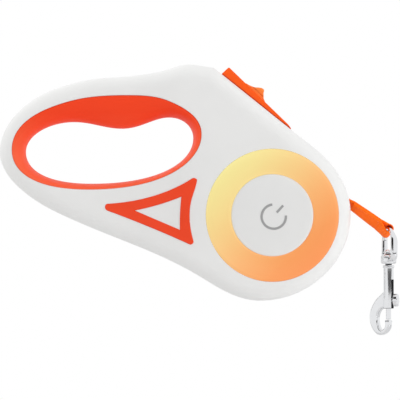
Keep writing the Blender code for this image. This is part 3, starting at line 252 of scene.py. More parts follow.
CASE_FRAME = side_frame(0.0, 0.0)
REEL_FRAME = side_frame(REEL_X, REEL_Z)
TAPE_FRAME = side_frame(REEL_X, REEL_Z, TAPE_DROP)
SLOPE_FRAME = side_frame(REEL_X, REEL_Z, SLOPE) @ Matrix.Translation((-LEVER_BACK, CASE_R, 0.0))
LEVER_FRAME = SLOPE_FRAME @ Matrix.Translation((PIN_S, -PIN_DEPTH, 0.0))

TAPE_TURN = TAPE_FRAME.to_3x3()
TAPE_UP = (TAPE_TURN @ Vector((0, 1, 0))).normalized()
LOOP_AXIS = Vector((0, 1, 0)) * math.cos(TAPE_TWIST) + TAPE_UP * math.sin(TAPE_TWIST)
LOOP_PLACE = TAPE_FRAME @ Vector((TAPE_RUN, COIL_R, 0.0))
EYE_SAG = EYE_R - math.sqrt(EYE_R**2 - (TAPE_W / 2) ** 2)
LOOP_HOLE_R = EYE_WIRE_R + EYE_SAG / 2 + GAP
LOOP_R = LOOP_HOLE_R + TAPE_T
EYE_ACROSS = Vector((LOOP_AXIS.x, LOOP_AXIS.y, 0.0)).normalized()
EYE_OUT = EYE_ACROSS * -LOOP_AXIS.z + UP * math.sqrt(1 - LOOP_AXIS.z**2)
EYE_MIDDLE = LOOP_PLACE - EYE_OUT * (EYE_R - EYE_SAG / 2)
SNAP_TOP = EYE_MIDDLE - Vector((0, 0, EYE_DROP + SWIVEL_H / 2 + GAP))
SNAP_FRAME = Matrix.Translation(SNAP_TOP) @ Matrix.Rotation(SNAP_TURN, 4, "Z")


# Object building


def add_object(name, data, place):
    obj = bpy.data.objects.new(name, data)
    obj.matrix_world = place
    bpy.context.scene.collection.objects.link(obj)
    return obj


def mesh_object(name, work, place):
    mesh = bpy.data.meshes.new(name)
    work.to_mesh(mesh)
    work.free()
    return add_object(name, mesh, place)


def bake(obj):
    """Return a mesh object with modifiers or a curve applied, under the same name."""
    bpy.context.view_layer.update()
    evaluated = obj.evaluated_get(bpy.context.evaluated_depsgraph_get())
    mesh = bpy.data.meshes.new_from_object(evaluated)
    work = bmesh.new()
    work.from_mesh(mesh)
    bmesh.ops.remove_doubles(work, verts=work.verts, dist=WELD)
    work.to_mesh(mesh)
    work.free()
    name = obj.name
    place = obj.matrix_world.copy()
    bpy.data.objects.remove(obj, do_unlink=True)
    return add_object(name, mesh, place)


def boolean(obj, tools, operation):
    """Apply tools to an object, then remove them."""
    for tool in tools:
        modifier = obj.modifiers.new("b", "BOOLEAN")
        modifier.operation = operation
        modifier.solver = "EXACT"
        modifier.object = tool
    obj = bake(obj)
    for tool in tools:
        bpy.data.objects.remove(tool, do_unlink=True)
    return obj


def block(name, low, high, place):
    size = Vector(high) - Vector(low)
    middle = (Vector(high) + Vector(low)) / 2
    work = bmesh.new()
    bmesh.ops.create_cube(work, size=1.0)
    bmesh.ops.scale(work, vec=size, verts=work.verts)
    bmesh.ops.translate(work, vec=middle, verts=work.verts)
    return mesh_object(name, work, place)


def rod(name, radius, low, high, place, facets=MEDIUM):
    work = bmesh.new()
    bmesh.ops.create_cone(
        work, cap_ends=True, segments=facets, radius1=radius, radius2=radius, depth=high - low
    )
    bmesh.ops.translate(work, vec=(0.0, 0.0, (high + low) / 2), verts=work.verts)
    return mesh_object(name, work, place)


def turned(name, profile, place, steps, ring=False):
    """A profile of (radius, height) turned about local z. A ring's profile closes on itself."""
    mesh = bpy.data.meshes.new(name)
    edges = [(i, i + 1) for i in range(len(profile) - 1)]
    if ring:
        edges.append((len(profile) - 1, 0))
    mesh.from_pydata([(r, 0.0, h) for r, h in profile], edges, [])
    obj = add_object(name, mesh, place)
    screw = obj.modifiers.new("turn", "SCREW")
    screw.axis = "Z"
    screw.steps = steps
    screw.render_steps = steps
    screw.use_merge_vertices = True
    screw.merge_threshold = NEAR
    return bake(obj)


def rounded_profile(points, radius, steps=4, ring=False):
    """A profile with each corner replaced by a small arc, as far as its sides allow."""
    made = []
    count = len(points)
    for i, point in enumerate(points):
        here = Vector(point)
        if not ring and i in (0, count - 1):
            made.append(tuple(here))
            continue
        before = Vector(points[i - 1])
        after = Vector(points[(i + 1) % count])
        reach = min(radius, (here - before).length * 0.45, (after - here).length * 0.45)
        start = here + (before - here).normalized() * reach
        end = here + (after - here).normalized() * reach
        for k in range(steps + 1):
            t = k / steps
            made.append(tuple(start * (1 - t) ** 2 + here * 2 * t * (1 - t) + end * t * t))
    return made


def heading(angle):
    return Vector((math.cos(math.radians(angle)), math.sin(math.radians(angle))))


def corner(x, y, angle_in, reach_in, angle_out, reach_out):
    """An outline point in millimetres that arrives on one heading and leaves on another."""
    point = Vector((x, y)) * MM
    return point, point - heading(angle_in) * reach_in * MM, point + heading(angle_out) * reach_out * MM


def smooth(x, y, angle, reach_in, reach_out):
    """An outline point in millimetres with one heading."""
    return corner(x, y, angle, reach_in, angle, reach_out)


def bezier_points(anchors, steps, closed=True):
    """Points of an outline. Steps is one number for all its stretches, or a list of one each."""
    points = []
    afters = anchors[1:] + anchors[:1] if closed else anchors[1:]
    for index, (here, after) in enumerate(zip(anchors, afters)):
        a, _, b = here
        d, c, _ = after
        count = steps if isinstance(steps, int) else steps[index]
        for k in range(count):
            t = k / count
            s = 1 - t
            points.append(s**3 * a + 3 * s * s * t * b + 3 * s * t * t * c + t**3 * d)
    if not closed:
        points.append(anchors[-1][0])
    return points


def plate(name, loops, low, high, place, grow=0.0, rounding=0.0, round_steps=ROUND_STEPS):
    """A flat piece from closed loops, between two depths, grown if asked, its rim rounded inwards."""
    curve = bpy.data.curves.new(name, "CURVE")
    curve.dimensions = "2D"
    curve.fill_mode = "BOTH"
    curve.extrude = (high - low) / 2 - rounding
    curve.bevel_depth = rounding
    curve.bevel_resolution = round_steps
    curve.offset = grow - rounding
    for loop in loops:
        spline = curve.splines.new("POLY")
        spline.points.add(len(loop) - 1)
        spline.use_cyclic_u = True
        for point, (x, y) in zip(spline.points, loop):
            point.co = (x, y, 0.0, 1.0)
    obj = add_object(name, curve, place @ Matrix.Translation((0.0, 0.0, (high + low) / 2)))
    return bake(obj)


def skin(work, sections, closed=False):
    """Faces through sections of equal counts, capped at both ends or closed on themselves."""
    rings = [[work.verts.new(p) for p in section] for section in sections]
    pairs = list(zip(rings, rings[1:]))
    if closed:
        pairs.append((rings[-1], rings[0]))
    for first, second in pairs:
        for i in range(len(first)):
            j = (i + 1) % len(first)
            work.faces.new((first[i], first[j], second[j], second[i]))
    if not closed:
        work.faces.new(list(reversed(rings[0])))
        work.faces.new(rings[-1])


def loft(name, sections, place, closed=False):
    work = bmesh.new()
    skin(work, sections, closed)
    bmesh.ops.recalc_face_normals(work, faces=work.faces)
    return mesh_object(name, work, place)


def oval(middle, across, deep, sides):
    """Points round a middle, with the half widths given as two directions."""
    made = []
    for i in range(sides):
        turn = 2 * math.pi * i / sides
        made.append(middle + across * math.cos(turn) + deep * math.sin(turn))
    return made


def sweep(name, points, sizes, place, sides=20):
    """A closed tube along points, its half widths given as (in, out of) the local xz plane."""
    sections = []
    count = len(points)
    for k, (wide, thick) in enumerate(sizes):
        along = (Vector(points[(k + 1) % count]) - Vector(points[k - 1])).normalized()
        across = along.cross(Vector((0, 1, 0))).normalized()
        deep = across.cross(along).normalized()
        sections.append(oval(Vector(points[k]), across * wide, deep * thick, sides))
    return loft(name, sections, place, closed=True)


def dress(obj, material, body, slot, *nodes, angle=32.0):
    """Shade a piece, give it its material, ride it on a body and hide the solids it stands for."""
    obj.data.materials.clear()
    obj.data.materials.append(material)
    obj.data.shade_smooth()
    obj.data.set_sharp_from_angle(angle=math.radians(angle))
    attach(obj, body)
    if nodes:
        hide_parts(*nodes)
    return obj


def even(obj):
    """Let the broad faces of a piece set its shading, so that its reflections run straight."""
    weigh = obj.modifiers.new("even", "WEIGHTED_NORMAL")
    weigh.keep_sharp = True
    weigh.weight = 100


def smoothstep(value):
    value = min(max(value, 0.0), 1.0)
    return value * value * (3 - 2 * value)


def thickness_share(x):
    """Share of the body's thickness at a place along the casing."""
    slim = HANDLE_HALF / BODY_HALF
    return slim + (1 - slim) * smoothstep((x - TAPER_START) / TAPER_LENGTH)


def slim_handle(obj, low, high):
    """Cut a casing piece into a grid over a box of (x, z), then thin it towards the handle."""
    obj = bake(obj)
    work = bmesh.new()
    work.from_mesh(obj.data)
    work.transform(obj.matrix_world)
    bmesh.ops.dissolve_limit(work, angle_limit=math.radians(0.05), verts=work.verts, edges=work.edges)
    for axis in (0, 1):
        normal = (1, 0, 0) if axis == 0 else (0, 0, 1)
        count = int((high[axis] - low[axis]) / GRID)
        for k in range(1, count + 1):
            place = low[axis] + GRID * k
            point = (place, 0, 0) if axis == 0 else (0, 0, place)
            geometry = work.verts[:] + work.edges[:] + work.faces[:]
            bmesh.ops.bisect_plane(work, geom=geometry, dist=NEAR, plane_co=point, plane_no=normal)
    for vert in work.verts:
        vert.co.y *= thickness_share(vert.co.x)
    work.to_mesh(obj.data)
    work.free()
    obj.matrix_world = HOME
    return obj


# Outlines, in millimetres of the side view


def slope_mm(along, out):
    place = SLOPE_FRAME @ Vector((along, out, 0.0))
    return place.x / MM, place.z / MM


SLOPE_HEADING = -math.degrees(SLOPE)
BOTTOM_MM = (REEL_Z - CASE_DROP) / MM
REEL_X_MM = REEL_X / MM
REEL_Z_MM = REEL_Z / MM
CASE_R_MM = CASE_R / MM
CREST_X_MM, CREST_Z_MM = slope_mm(-CORNER_BACK, 0.0)

CASE_LOOP = bezier_points([
    smooth(-54.0, 0.0, 90, 10, 14),
    smooth(-26.0, 31.6, 19, 16, 12),
    smooth(2.0, 37.2, 2.5, 10, 9),
    smooth(26.0, 40.2, 12, 8, 5),
    smooth(CREST_X_MM - 12.7, CREST_Z_MM + 1.7, 0, 4.5, 4),
    corner(CREST_X_MM, CREST_Z_MM, -7, 4, SLOPE_HEADING, 6),
    smooth(*slope_mm(LEVER_LENGTH + 1.2 * MM, 0.0), SLOPE_HEADING, 6, 12),
    smooth(REEL_X_MM + CASE_R_MM, REEL_Z_MM, -90, 23, 23.7),
    smooth(REEL_X_MM - 5.6, BOTTOM_MM, 180, 23.4, 10),
    smooth(REEL_X_MM - 0.819 * CASE_R_MM, REEL_Z_MM - 0.844 * CASE_R_MM, 148, 10, 16),
    smooth(6.0, -43.6, 158.5, 21, 16),
    smooth(-34.0, -25.6, 148, 10, 13),
], CASE_STEPS)
GRIP_LOOP = bezier_points([
    smooth(-48.0, 1.0, 90, 12, 14),
    smooth(-17.0, 25.85, 14, 16, 9),
    smooth(9.5, 28.3, 0, 8, 9),
    smooth(30.9, 25.2, -23, 7, 9.5),
    smooth(46.8, 8.7, -90, 8, 11.5),
    smooth(-10.0, -18.8, 180, 42, 25),
], 2 * OUTLINE_STEPS)
OPENING_LOOP = bezier_points([
    smooth(-41.0, 0.0, 90, 9, 8.5),
    smooth(-17.0, 14.9, 0, 12, 9),
    smooth(7.0, 11.6, 0, 8.5, 9.5),
    smooth(30.5, 17.2, 0, 7.5, 7),
    smooth(42.6, 6.8, -90, 6, 11.2),
    smooth(-8.0, -15.85, 180, 35, 23),
], 2 * OUTLINE_STEPS)
TRIM_LOOP = bezier_points([
    smooth(-1.4, -27.5, 90, 0.9, 0.9),
    smooth(0.0, -25.9, 3, 1.0, 14),
    smooth(42.2, -13.2, 33, 15, 1.0),
    smooth(44.5, -14.3, -100, 0.9, 6),
    smooth(40.8, -31.5, -90, 8, 6),
    smooth(42.8, -44.7, -74, 3, 0.8),
    smooth(40.9, -46.2, 155, 0.8, 12),
    smooth(0.0, -29.4, 160, 14, 1.0),
], 10)
TRIM_WINDOW = bezier_points([
    corner(36.0, -38.9, -23, 8, 92.5, 5.5),
    corner(36.7, -22.3, 84, 5.5, 203, 8),
    corner(13.4, -29.25, 191, 8, -23, 8),
], 8)
TRIM_LOOPS = [TRIM_LOOP, TRIM_WINDOW]


# Materials


def linear(red, green, blue):
    """Linear colour of screen values from 0 to 255."""
    made = []
    for value in (red, green, blue):
        share = value / 255
        made.append(share / 12.92 if share <= 0.04045 else ((share + 0.055) / 1.055) ** 2.4)
    return (*made, 1.0)


class Tree:
    """A node tree, with helpers that take plain values or the outputs of other nodes."""

    def __init__(self, tree):
        self.nodes = tree.nodes
        self.links = tree.links

    def put(self, socket, value):
        if isinstance(value, bpy.types.NodeSocket):
            self.links.new(value, socket)
        else:
            socket.default_value = value

    def node(self, kind, **inputs):
        made = self.nodes.new("ShaderNode" + kind)
        for name, value in inputs.items():
            self.put(made.inputs[name.replace("_", " ")], value)
        return made

    def math(self, operation, *values):
        made = self.node("Math")
        made.operation = operation
        for socket, value in zip(made.inputs, values):
            self.put(socket, value)
        return made.outputs["Value"]

    def mix(self, share, first, second):
        """A first shader that gives way to a second."""
        made = self.node("MixShader", Fac=share)
        self.put(made.inputs[1], first)
        self.put(made.inputs[2], second)
        return made.outputs["Shader"]


class Look(Tree):
    """A Principled material with helpers for procedural detail in object coordinates."""

    def __init__(self, name):
        self.material = bpy.data.materials.new(name)
        self.material.use_nodes = True
        super().__init__(self.material.node_tree)
        self.shader = self.nodes["Principled BSDF"]
        self.where = self.node("TexCoord").outputs["Object"]

    def set(self, **inputs):
        for name, value in inputs.items():
            self.put(self.shader.inputs[name.replace("_", " ")], value)
        return self

    def axes(self):
        return self.node("SeparateXYZ", Vector=self.where).outputs

    def noise(self, scale, detail=2.0):
        return self.node("TexNoise", Vector=self.where, Scale=scale, Detail=detail).outputs["Fac"]

    def ramp(self, source, stops):
        node = self.node("ValToRGB", Fac=source)
        elements = node.color_ramp.elements
        while len(elements) < len(stops):
            elements.new(0.5)
        for element, (position, colour) in zip(elements, stops):
            element.position = position
            element.color = colour
        return node.outputs["Color"]

    def share(self, source, low, high):
        """0 to 1 between two values, faintly mottled."""
        plain = self.node("MapRange", Value=source, From_Min=low, From_Max=high).outputs["Result"]
        return self.math("MULTIPLY_ADD", self.noise(90.0), 0.03, plain)

    def cloud(self, scale, detail, low, high):
        """Base colour in soft clouds of two tones."""
        return self.set(Base_Color=self.ramp(self.noise(scale, detail), [(0.3, low), (0.7, high)]))

    def gloss(self, scale, low, high, detail=3.0):
        """Uneven roughness between two values."""
        limits = {"From_Min": 0.25, "From_Max": 0.75, "To_Min": low, "To_Max": high}
        made = self.node("MapRange", Value=self.noise(scale, detail), **limits)
        return self.set(Roughness=made.outputs["Result"])

    def bump(self, source, strength, distance):
        made = self.node("Bump", Height=source, Strength=strength, Distance=distance)
        return self.set(Normal=made.outputs["Normal"])


def shade(colour, factor):
    return (colour[0] * factor, colour[1] * factor, colour[2] * factor, 1.0)


def moulded(name, colour, roughness, grain=1400.0, depth=0.02, vary=0.05, **values):
    """Moulded plastic: slight cloudiness, uneven gloss and a fine spark-eroded grain."""
    look = Look(name).set(**values)
    look.cloud(45.0, 3.0, shade(colour, 1 - vary), shade(colour, 1 + vary / 3))
    look.gloss(260.0, roughness - 0.05, roughness + 0.05)
    return look.bump(look.noise(grain), 0.25, depth * MM).material


def metal(name, colour, roughness, grain=900.0, depth=0.004, vary=0.06):
    """Metal with faint casting or polishing unevenness."""
    look = Look(name).set(Metallic=1.0)
    look.cloud(120.0, 3.0, shade(colour, 1 - vary), colour)
    look.gloss(500.0, roughness * 0.7, roughness * 1.3)
    return look.bump(look.noise(grain), 0.2, depth * MM).material


def grip_look():
    """Soft liner with a fine orange-peel grain. Painted light: lighter orange low down, where the roll
    faces up into the light, and deeper orange along the top bar, which faces down.
    """
    look = Look("grip_soft_rubber").set(Specular_IOR_Level=0.15, Sheen_Weight=0.04, Sheen_Roughness=0.5)
    height = look.share(look.axes()["Y"], -2.0 * MM, 20.0 * MM)
    # Painted light: the colour runs from a lighter orange at the bottom to a deeper orange at the top, for
    # how light falls on the roll.
    look.set(Base_Color=look.ramp(height, [(0.0, linear(252, 102, 66)), (1.0, linear(246, 68, 30))]))
    look.gloss(400.0, 0.48, 0.6)
    return look.bump(look.noise(1500.0), 0.3, 0.03 * MM).material


def ring_look():
    """Diffuser lit from behind, warm yellow at the upper left and orange at the lower right."""
    look = Look("lit_diffuser").set(Roughness=0.32, Emission_Strength=0.62)
    axes = look.axes()
    reach = LIGHT_R * math.sqrt(2)
    across = look.share(look.math("SUBTRACT", axes["X"], axes["Y"]), -reach, reach)
    glow = look.ramp(across, [
        (0.0, linear(248, 236, 156)),
        (0.18, linear(248, 224, 148)),
        (0.40, linear(250, 205, 134)),
        (0.62, linear(252, 182, 114)),
        (0.85, linear(251, 160, 92)),
        (1.0, linear(251, 152, 86)),
    ])
    dim = look.node("Mix")
    dim.data_type = "RGBA"
    look.put(dim.inputs["Factor"], 0.62)
    look.put(dim.inputs["A"], glow)
    look.put(dim.inputs["B"], (0.0, 0.0, 0.0, 1.0))
    look.set(Emission_Color=glow, Base_Color=dim.outputs["Result"])
    return look.bump(look.noise(1800.0), 0.2, 0.012 * MM).material


def webbing_look(name, colour, glow):
    """Woven tape: ribs across its length and a finer rib along it, with darker valleys, and a faint
    painted glow in its own colour.
    """
    look = Look(name).set(Specular_IOR_Level=0.15, Sheen_Weight=0.06, Sheen_Roughness=0.45)
    # Painted light: the tape glows faintly in its own colour, though it is no lamp, to brighten it.
    look.set(Emission_Color=colour, Emission_Strength=glow)
    weave = look.node("UVMap")
    weave.uv_map = "weave"
    halves = []
    for direction, scale, distortion, detail in (("X", 7.0, 0.6, 1.0), ("Y", 4.5, 0.4, 2.0)):
        rib = look.node("TexWave", Scale=scale, Distortion=distortion, Detail=detail)
        rib.bands_direction = direction
        look.put(rib.inputs["Vector"], weave.outputs["UV"])
        halves.append(look.math("MULTIPLY", rib.outputs["Fac"], 0.5))
    both = look.math("ADD", *halves)
    look.set(Base_Color=look.ramp(both, [(0.05, shade(colour, 0.88)), (0.6, colour)]))
    look.gloss(700.0, 0.62, 0.8, 2.0)
    return look.bump(both, 0.5, 0.12 * MM).material


def make_looks():
    white = linear(232, 232, 231)
    return {
        "white": moulded("casing_white", white, 0.42, vary=0.02),
        "grip": grip_look(),
        "trim": moulded("trim_orange_red", linear(243, 71, 33), 0.42, Specular_IOR_Level=0.25),
        "ring": ring_look(),
        "button": moulded("button_grey_white", linear(228, 228, 227), 0.45, vary=0.02),
        "mark": moulded("power_mark_grey", linear(160, 160, 160), 0.5),
        "lever": moulded("lever_orange", linear(255, 92, 6), 0.36, vary=0.04, Specular_IOR_Level=0.25),
        "nub": moulded("nub_orange", linear(255, 136, 56), 0.4, vary=0.04, Specular_IOR_Level=0.25),
        # Painted light: the tape's faint glow of 0.16.
        "tape": webbing_look("woven_tape", linear(255, 108, 14), 0.16),
        # Painted shadow: a darker red with no glow for the inner face of the loop.
        "tape_painted_shadow": webbing_look("woven_tape_painted_shadow", linear(190, 40, 8), 0.0),
        "thread": moulded("sewing_thread", linear(255, 128, 52), 0.7, grain=3000.0, depth=0.05),
        "guide": moulded("mouthpiece_white", linear(226, 226, 225), 0.4, vary=0.02),
        "natural": moulded("natural_plastic", linear(205, 202, 192), 0.5),
        "dark": moulded("dark_plastic", linear(60, 60, 62), 0.5),
        "board": moulded("solder_mask", linear(28, 96, 62), 0.4),
        "lens": moulded("lamp_lens", linear(255, 232, 186), 0.25),
        "steel": metal("bright_steel", linear(200, 202, 204), 0.28),
        "brass": metal("turned_brass", linear(214, 184, 118), 0.3),
        "chrome": metal("chrome_plate", linear(232, 233, 235), 0.09, grain=300.0, depth=0.006),
    }


# Casing


def screw_face(x):
    return BODY_HALF * thickness_share(x)


def casing_blank():
    """The outer form with its trim seats, cut into a grid and slimmed at the handle."""
    blank = plate("casing_form", [CASE_LOOP], -BODY_HALF, BODY_HALF, CASE_FRAME, rounding=EDGE_ROUND)
    past = BODY_HALF + WALL
    floor = BODY_HALF + TRIM_PROUD - TRIM_T - GAP
    depths = ((floor, past), (-past, -floor))
    seats = [plate("seat", TRIM_LOOPS, low, high, CASE_FRAME, grow=SNUG) for low, high in depths]
    hollow = plate(
        "hollow", [CASE_LOOP], -INNER_HALF, INNER_HALF, CASE_FRAME, -WALL, EDGE_ROUND - WALL, round_steps=3
    )
    posts = []
    for x, z in SCREW_PLACES:
        posts.append(rod("post", SCREW_HEAD_R + GAP + BOSS_WALL, -past, past, side_frame(x, z)))
    hollow = boolean(hollow, posts, "DIFFERENCE")
    blank = boolean(blank, [hollow, *seats], "DIFFERENCE")
    return slim_handle(blank, *CASE_GRID)


def at_depth(loop, depth):
    """A loop at a depth that follows the casing's thickness."""
    return [(p.x, p.y, depth * thickness_share(p.x)) for p in loop]


def grown(loop, amount):
    """A clockwise loop moved outwards by an amount."""
    made = []
    count = len(loop)
    for k, point in enumerate(loop):
        along = (loop[(k + 1) % count] - loop[k - 1]).normalized()
        made.append(point + Vector((-along.y, along.x)) * amount)
    return made


def grip_window():
    """Cutter for the grip's window, with a softened edge on both faces."""
    soft = WINDOW_SOFT
    levels = [
        (SNUG, BODY_HALF - soft),
        (SNUG + 0.3 * soft, BODY_HALF - 0.3 * soft),
        (SNUG + soft, BODY_HALF),
        (SNUG + 5 * soft, BODY_HALF + 4 * soft),
    ]
    levels = [(grow, -depth) for grow, depth in reversed(levels)] + levels
    sections = [at_depth(grown(GRIP_LOOP, grow), depth) for grow, depth in levels]
    return loft("window", sections, CASE_FRAME)


def mouth_bar(name, grow):
    """A bar along the tape's line, the size of its mouth or larger."""
    half_w = MOUTH_W / 2 + grow
    half_h = MOUTH_H / 2 + grow
    return block(name, (0.0, COIL_R - half_h, -half_w), (2 * CASE_R, COIL_R + half_h, half_w), TAPE_FRAME)


def brake_cuts():
    side = LEVER_W / 2 + GAP
    pocket = block(
        "pocket",
        (-LEVER_REAR_GAP, -WALL - LEVER_SKIRT, -side),
        (LEVER_LENGTH + GAP, LEVER_H, side),
        SLOPE_FRAME,
    )
    reach = side + PIN_SEAT + GAP
    return [pocket, rod("pin_hole", PIN_R + GAP, -reach, reach, LEVER_FRAME)]


def brake_seats(sign):
    """Pivot boss and spring rib inside one shell."""
    side = LEVER_W / 2 + GAP
    low, high = sorted((sign * side, sign * (side + PIN_SEAT + 2 * GAP)))
    rear = PIN_S - PIVOT_BOSS_LENGTH / 2
    front = PIN_S + PIVOT_BOSS_LENGTH / 2
    boss = block("boss", (rear, -PIVOT_BOSS_DEPTH, low), (front, -WALL / 2, high), SLOPE_FRAME)
    low, high = sorted((sign * GAP / 2, sign * (INNER_HALF + WALL / 2)))
    rib = block("rib", (*SPRING_RIB_LOW, low), (*SPRING_RIB_HIGH, high), SLOPE_FRAME)
    return [boss, rib]


def make_casing(looks):
    blank = casing_blank()
    reach = 0.3
    far = 2 * BODY_HALF
    for name, node, low, high, sign in (
        ("casing_left", "left_shell", -far, -GAP / 2, 1),
        ("casing_right", "right_shell", GAP / 2, far, -1),
    ):
        shell = add_object(name, blank.data.copy(), HOME)
        keep = block("keep", (-reach, low, -reach), (reach, high, reach), HOME)
        shell = boolean(shell, [keep], "INTERSECT")
        seats = brake_seats(sign)
        cuts = [grip_window(), mouth_bar("mouth", GUIDE_WALL + GAP), *brake_cuts()]
        if sign > 0:
            cuts.append(rod("light_hole", LIGHT_R + SNUG, GAP, far, REEL_FRAME, FINE))
            for x, z in SCREW_PLACES:
                cuts.append(rod("pilot", SCREW_R + GAP, -GAP, SCREW_REACH + GAP, side_frame(x, z)))
        else:
            foot = -INNER_HALF - WALL / 2
            seats.append(rod("axle_boss", AXLE_BOSS_R, foot, -COVER_FACE - GAP, REEL_FRAME))
            for x, z in SCREW_PLACES:
                seat = screw_face(x) - SCREW_SINK - SCREW_HEAD_T - GAP
                cuts.append(rod("pass", SCREW_R + GAP, -far, GAP, side_frame(x, z)))
                cuts.append(rod("sink", SCREW_HEAD_R + GAP, -far, -seat, side_frame(x, z)))
            seat = BODY_HALF - AXLE_SCREW_SINK - SCREW_HEAD_T - GAP
            cuts.append(rod("axle_pass", SCREW_R + GAP, -far, -GAP, REEL_FRAME))
            cuts.append(rod("axle_sink", SCREW_HEAD_R + GAP, -far, -seat, REEL_FRAME))
        shell = boolean(shell, seats, "UNION")
        shell = boolean(shell, cuts, "DIFFERENCE")
        dress(shell, looks["white"], "casing", "white_plastic", node)
    bpy.data.objects.remove(blank, do_unlink=True)


def make_grips(looks):
    """The liners roll from the casing's face into the hand opening."""
    top = BODY_HALF - GRIP_SINK
    levels = [(0.0, GAP / 2), (0.0, top - 0.5 * MM), (0.012, top - 0.12 * MM)]
    for k in range(ROLL_STEPS + 1):
        turn = QUARTER * (0.02 + 0.98 * k / ROLL_STEPS)
        levels.append((0.03 + 0.97 * math.sin(turn), GRIP_LIP + (top - GRIP_LIP) * math.cos(turn)))
    levels.append((1.0, GAP / 2))
    for name, node, side in (("grip_liner_left", "left_grip", 1), ("grip_liner_right", "right_grip", -1)):
        sections = []
        for share, depth in levels:
            loop = [a.lerp(b, share) for a, b in zip(GRIP_LOOP, OPENING_LOOP)]
            sections.append(at_depth(loop, side * depth))
        obj = loft(name, sections, CASE_FRAME, closed=True)
        dress(obj, looks["grip"], "casing", "grip_rubber", node, angle=50.0)


def make_trims(looks):
    high = BODY_HALF + TRIM_PROUD
    low = high - TRIM_T
    for name, node, depths in (
        ("triangle_trim_left", "left_trim", (low, high)),
        ("triangle_trim_right", "right_trim", (-high, -low)),
    ):
        obj = plate(name, TRIM_LOOPS, *depths, CASE_FRAME, rounding=SOFT_EDGE, round_steps=3)
        obj = slim_handle(obj, *TRIM_GRID)
        dress(obj, looks["trim"], "casing", "trim_plastic", node, angle=50.0)


# Light


def make_light(looks):
    ring_in = BUTTON_R + SNUG
    top = BODY_HALF
    ring = [
        (ring_in, top + 0.1 * MM),
        (ring_in + 1.2 * MM, top + 0.44 * MM),
        (ring_in + 3.6 * MM, top + 0.62 * MM),
        ((ring_in + LIGHT_R) / 2, top + 0.7 * MM),
        (LIGHT_R - 3.6 * MM, top + 0.62 * MM),
        (LIGHT_R - 1.2 * MM, top + 0.4 * MM),
        (LIGHT_R, top - 0.2 * MM),
        (LIGHT_R, RING_UNDER),
        (SKIRT_OUT, RING_UNDER),
        (SKIRT_OUT, BOARD_SEAT),
        (SKIRT_IN, BOARD_SEAT),
        (SKIRT_IN, RING_UNDER),
        (ring_in, RING_UNDER),
    ]
    obj = turned("lit_ring", rounded_profile(ring, LIGHT_SOFT, ring=True), REEL_FRAME, FINE, ring=True)
    dress(obj, looks["ring"], "casing", "light_diffuser", "light_ring", angle=50.0)

    button = [
        (0.0, top + 0.32 * MM),
        (8.0 * MM, top + 0.32 * MM),
        (14.0 * MM, top + 0.36 * MM),
        (18.0 * MM, top + 0.4 * MM),
        (19.6 * MM, top + 0.36 * MM),
        (BUTTON_R, top + 0.12 * MM),
        (BUTTON_R, BUTTON_FLANGE_TOP),
        (BUTTON_FLANGE_R, BUTTON_FLANGE_TOP),
        (BUTTON_FLANGE_R, BUTTON_FLANGE_UNDER),
        (BUTTON_SKIRT_R, BUTTON_FLANGE_UNDER),
        (BUTTON_SKIRT_R, BUTTON_UNDER),
        (0.0, BUTTON_UNDER),
    ]
    obj = turned("push_button", rounded_profile(button, LIGHT_SOFT), REEL_FRAME, FINE)
    dress(obj, looks["button"], "light_button", "button_plastic", "power_button", angle=50.0)
    make_power_mark(looks, top + 0.34 * MM)


def make_power_mark(looks, face):
    """A raised power sign, turned a little as on the object."""
    centre = Vector((0.7 * MM, -0.7 * MM))
    start = 97
    end = 365
    arc = []
    for k in range(MEDIUM + 1):
        arc.append(centre + heading(start + (end - start) * k / MEDIUM) * MARK_R)
    bar = [Vector((2.2 * MM, 1.35 * MM)), Vector((5.4 * MM, 4.85 * MM))]
    half_edge = [(1.0, -0.1 * MM), (1.0, 0.6 * MARK_PROUD), (0.7, MARK_PROUD)]
    edge = half_edge + [(-across, rise) for across, rise in reversed(half_edge)]
    for name, line in (("power_mark_arc", arc), ("power_mark_bar", bar)):
        sections = []
        count = len(line)
        for k, point in enumerate(line):
            along = (line[min(k + 1, count - 1)] - line[max(k - 1, 0)]).normalized()
            side = Vector((-along.y, along.x)) * MARK_HALF
            sections.append([(*(point + side * across), face + rise) for across, rise in edge])
        obj = loft(name, sections, REEL_FRAME)
        dress(obj, looks["mark"], "light_button", "dark_plastic", angle=40.0)


# Brake


def make_pawl(skirt):
    """The leg under the lever whose tip stands over a gap of the ratchet flange."""
    to_lever = LEVER_FRAME.inverted() @ side_frame(REEL_X, REEL_Z, SLOPE)
    out = Vector((math.cos(PAWL_BEARING), math.sin(PAWL_BEARING), 0.0))
    side = Vector((-out.y, out.x, 0.0))
    tip = out * (FLANGE_R + PAWL_GAP)
    tip_back = to_lever @ (tip + side * PAWL_TIP / 2)
    tip_front = to_lever @ (tip - side * PAWL_TIP / 2)
    leg_rear = -PAWL_SET_BACK - PAWL_LEG / 2
    leg_front = leg_rear + PAWL_LEG
    loop = [
        Vector((leg_rear, skirt + WALL)),
        Vector((leg_rear, tip_back.y + PAWL_LEG)),
        tip_back.xy,
        tip_front.xy,
        Vector((leg_front, tip_front.y + PAWL_LEG)),
        Vector((leg_front, skirt + WALL)),
    ]
    middle = (DRUM_HALF + FLANGE_FACE) / 2
    return plate("pawl", [loop], middle - PAWL_W / 2, middle + PAWL_W / 2, LEVER_FRAME)


def flank_grooves(low, high, half, place):
    """Cutters for a groove along both flanks of a piece, between two (x, y) corners."""
    floor = half - GROOVE_DEPTH
    depths = ((-2 * half, -floor), (floor, 2 * half))
    return [block("groove", (*low, near), (*high, far), place) for near, far in depths]


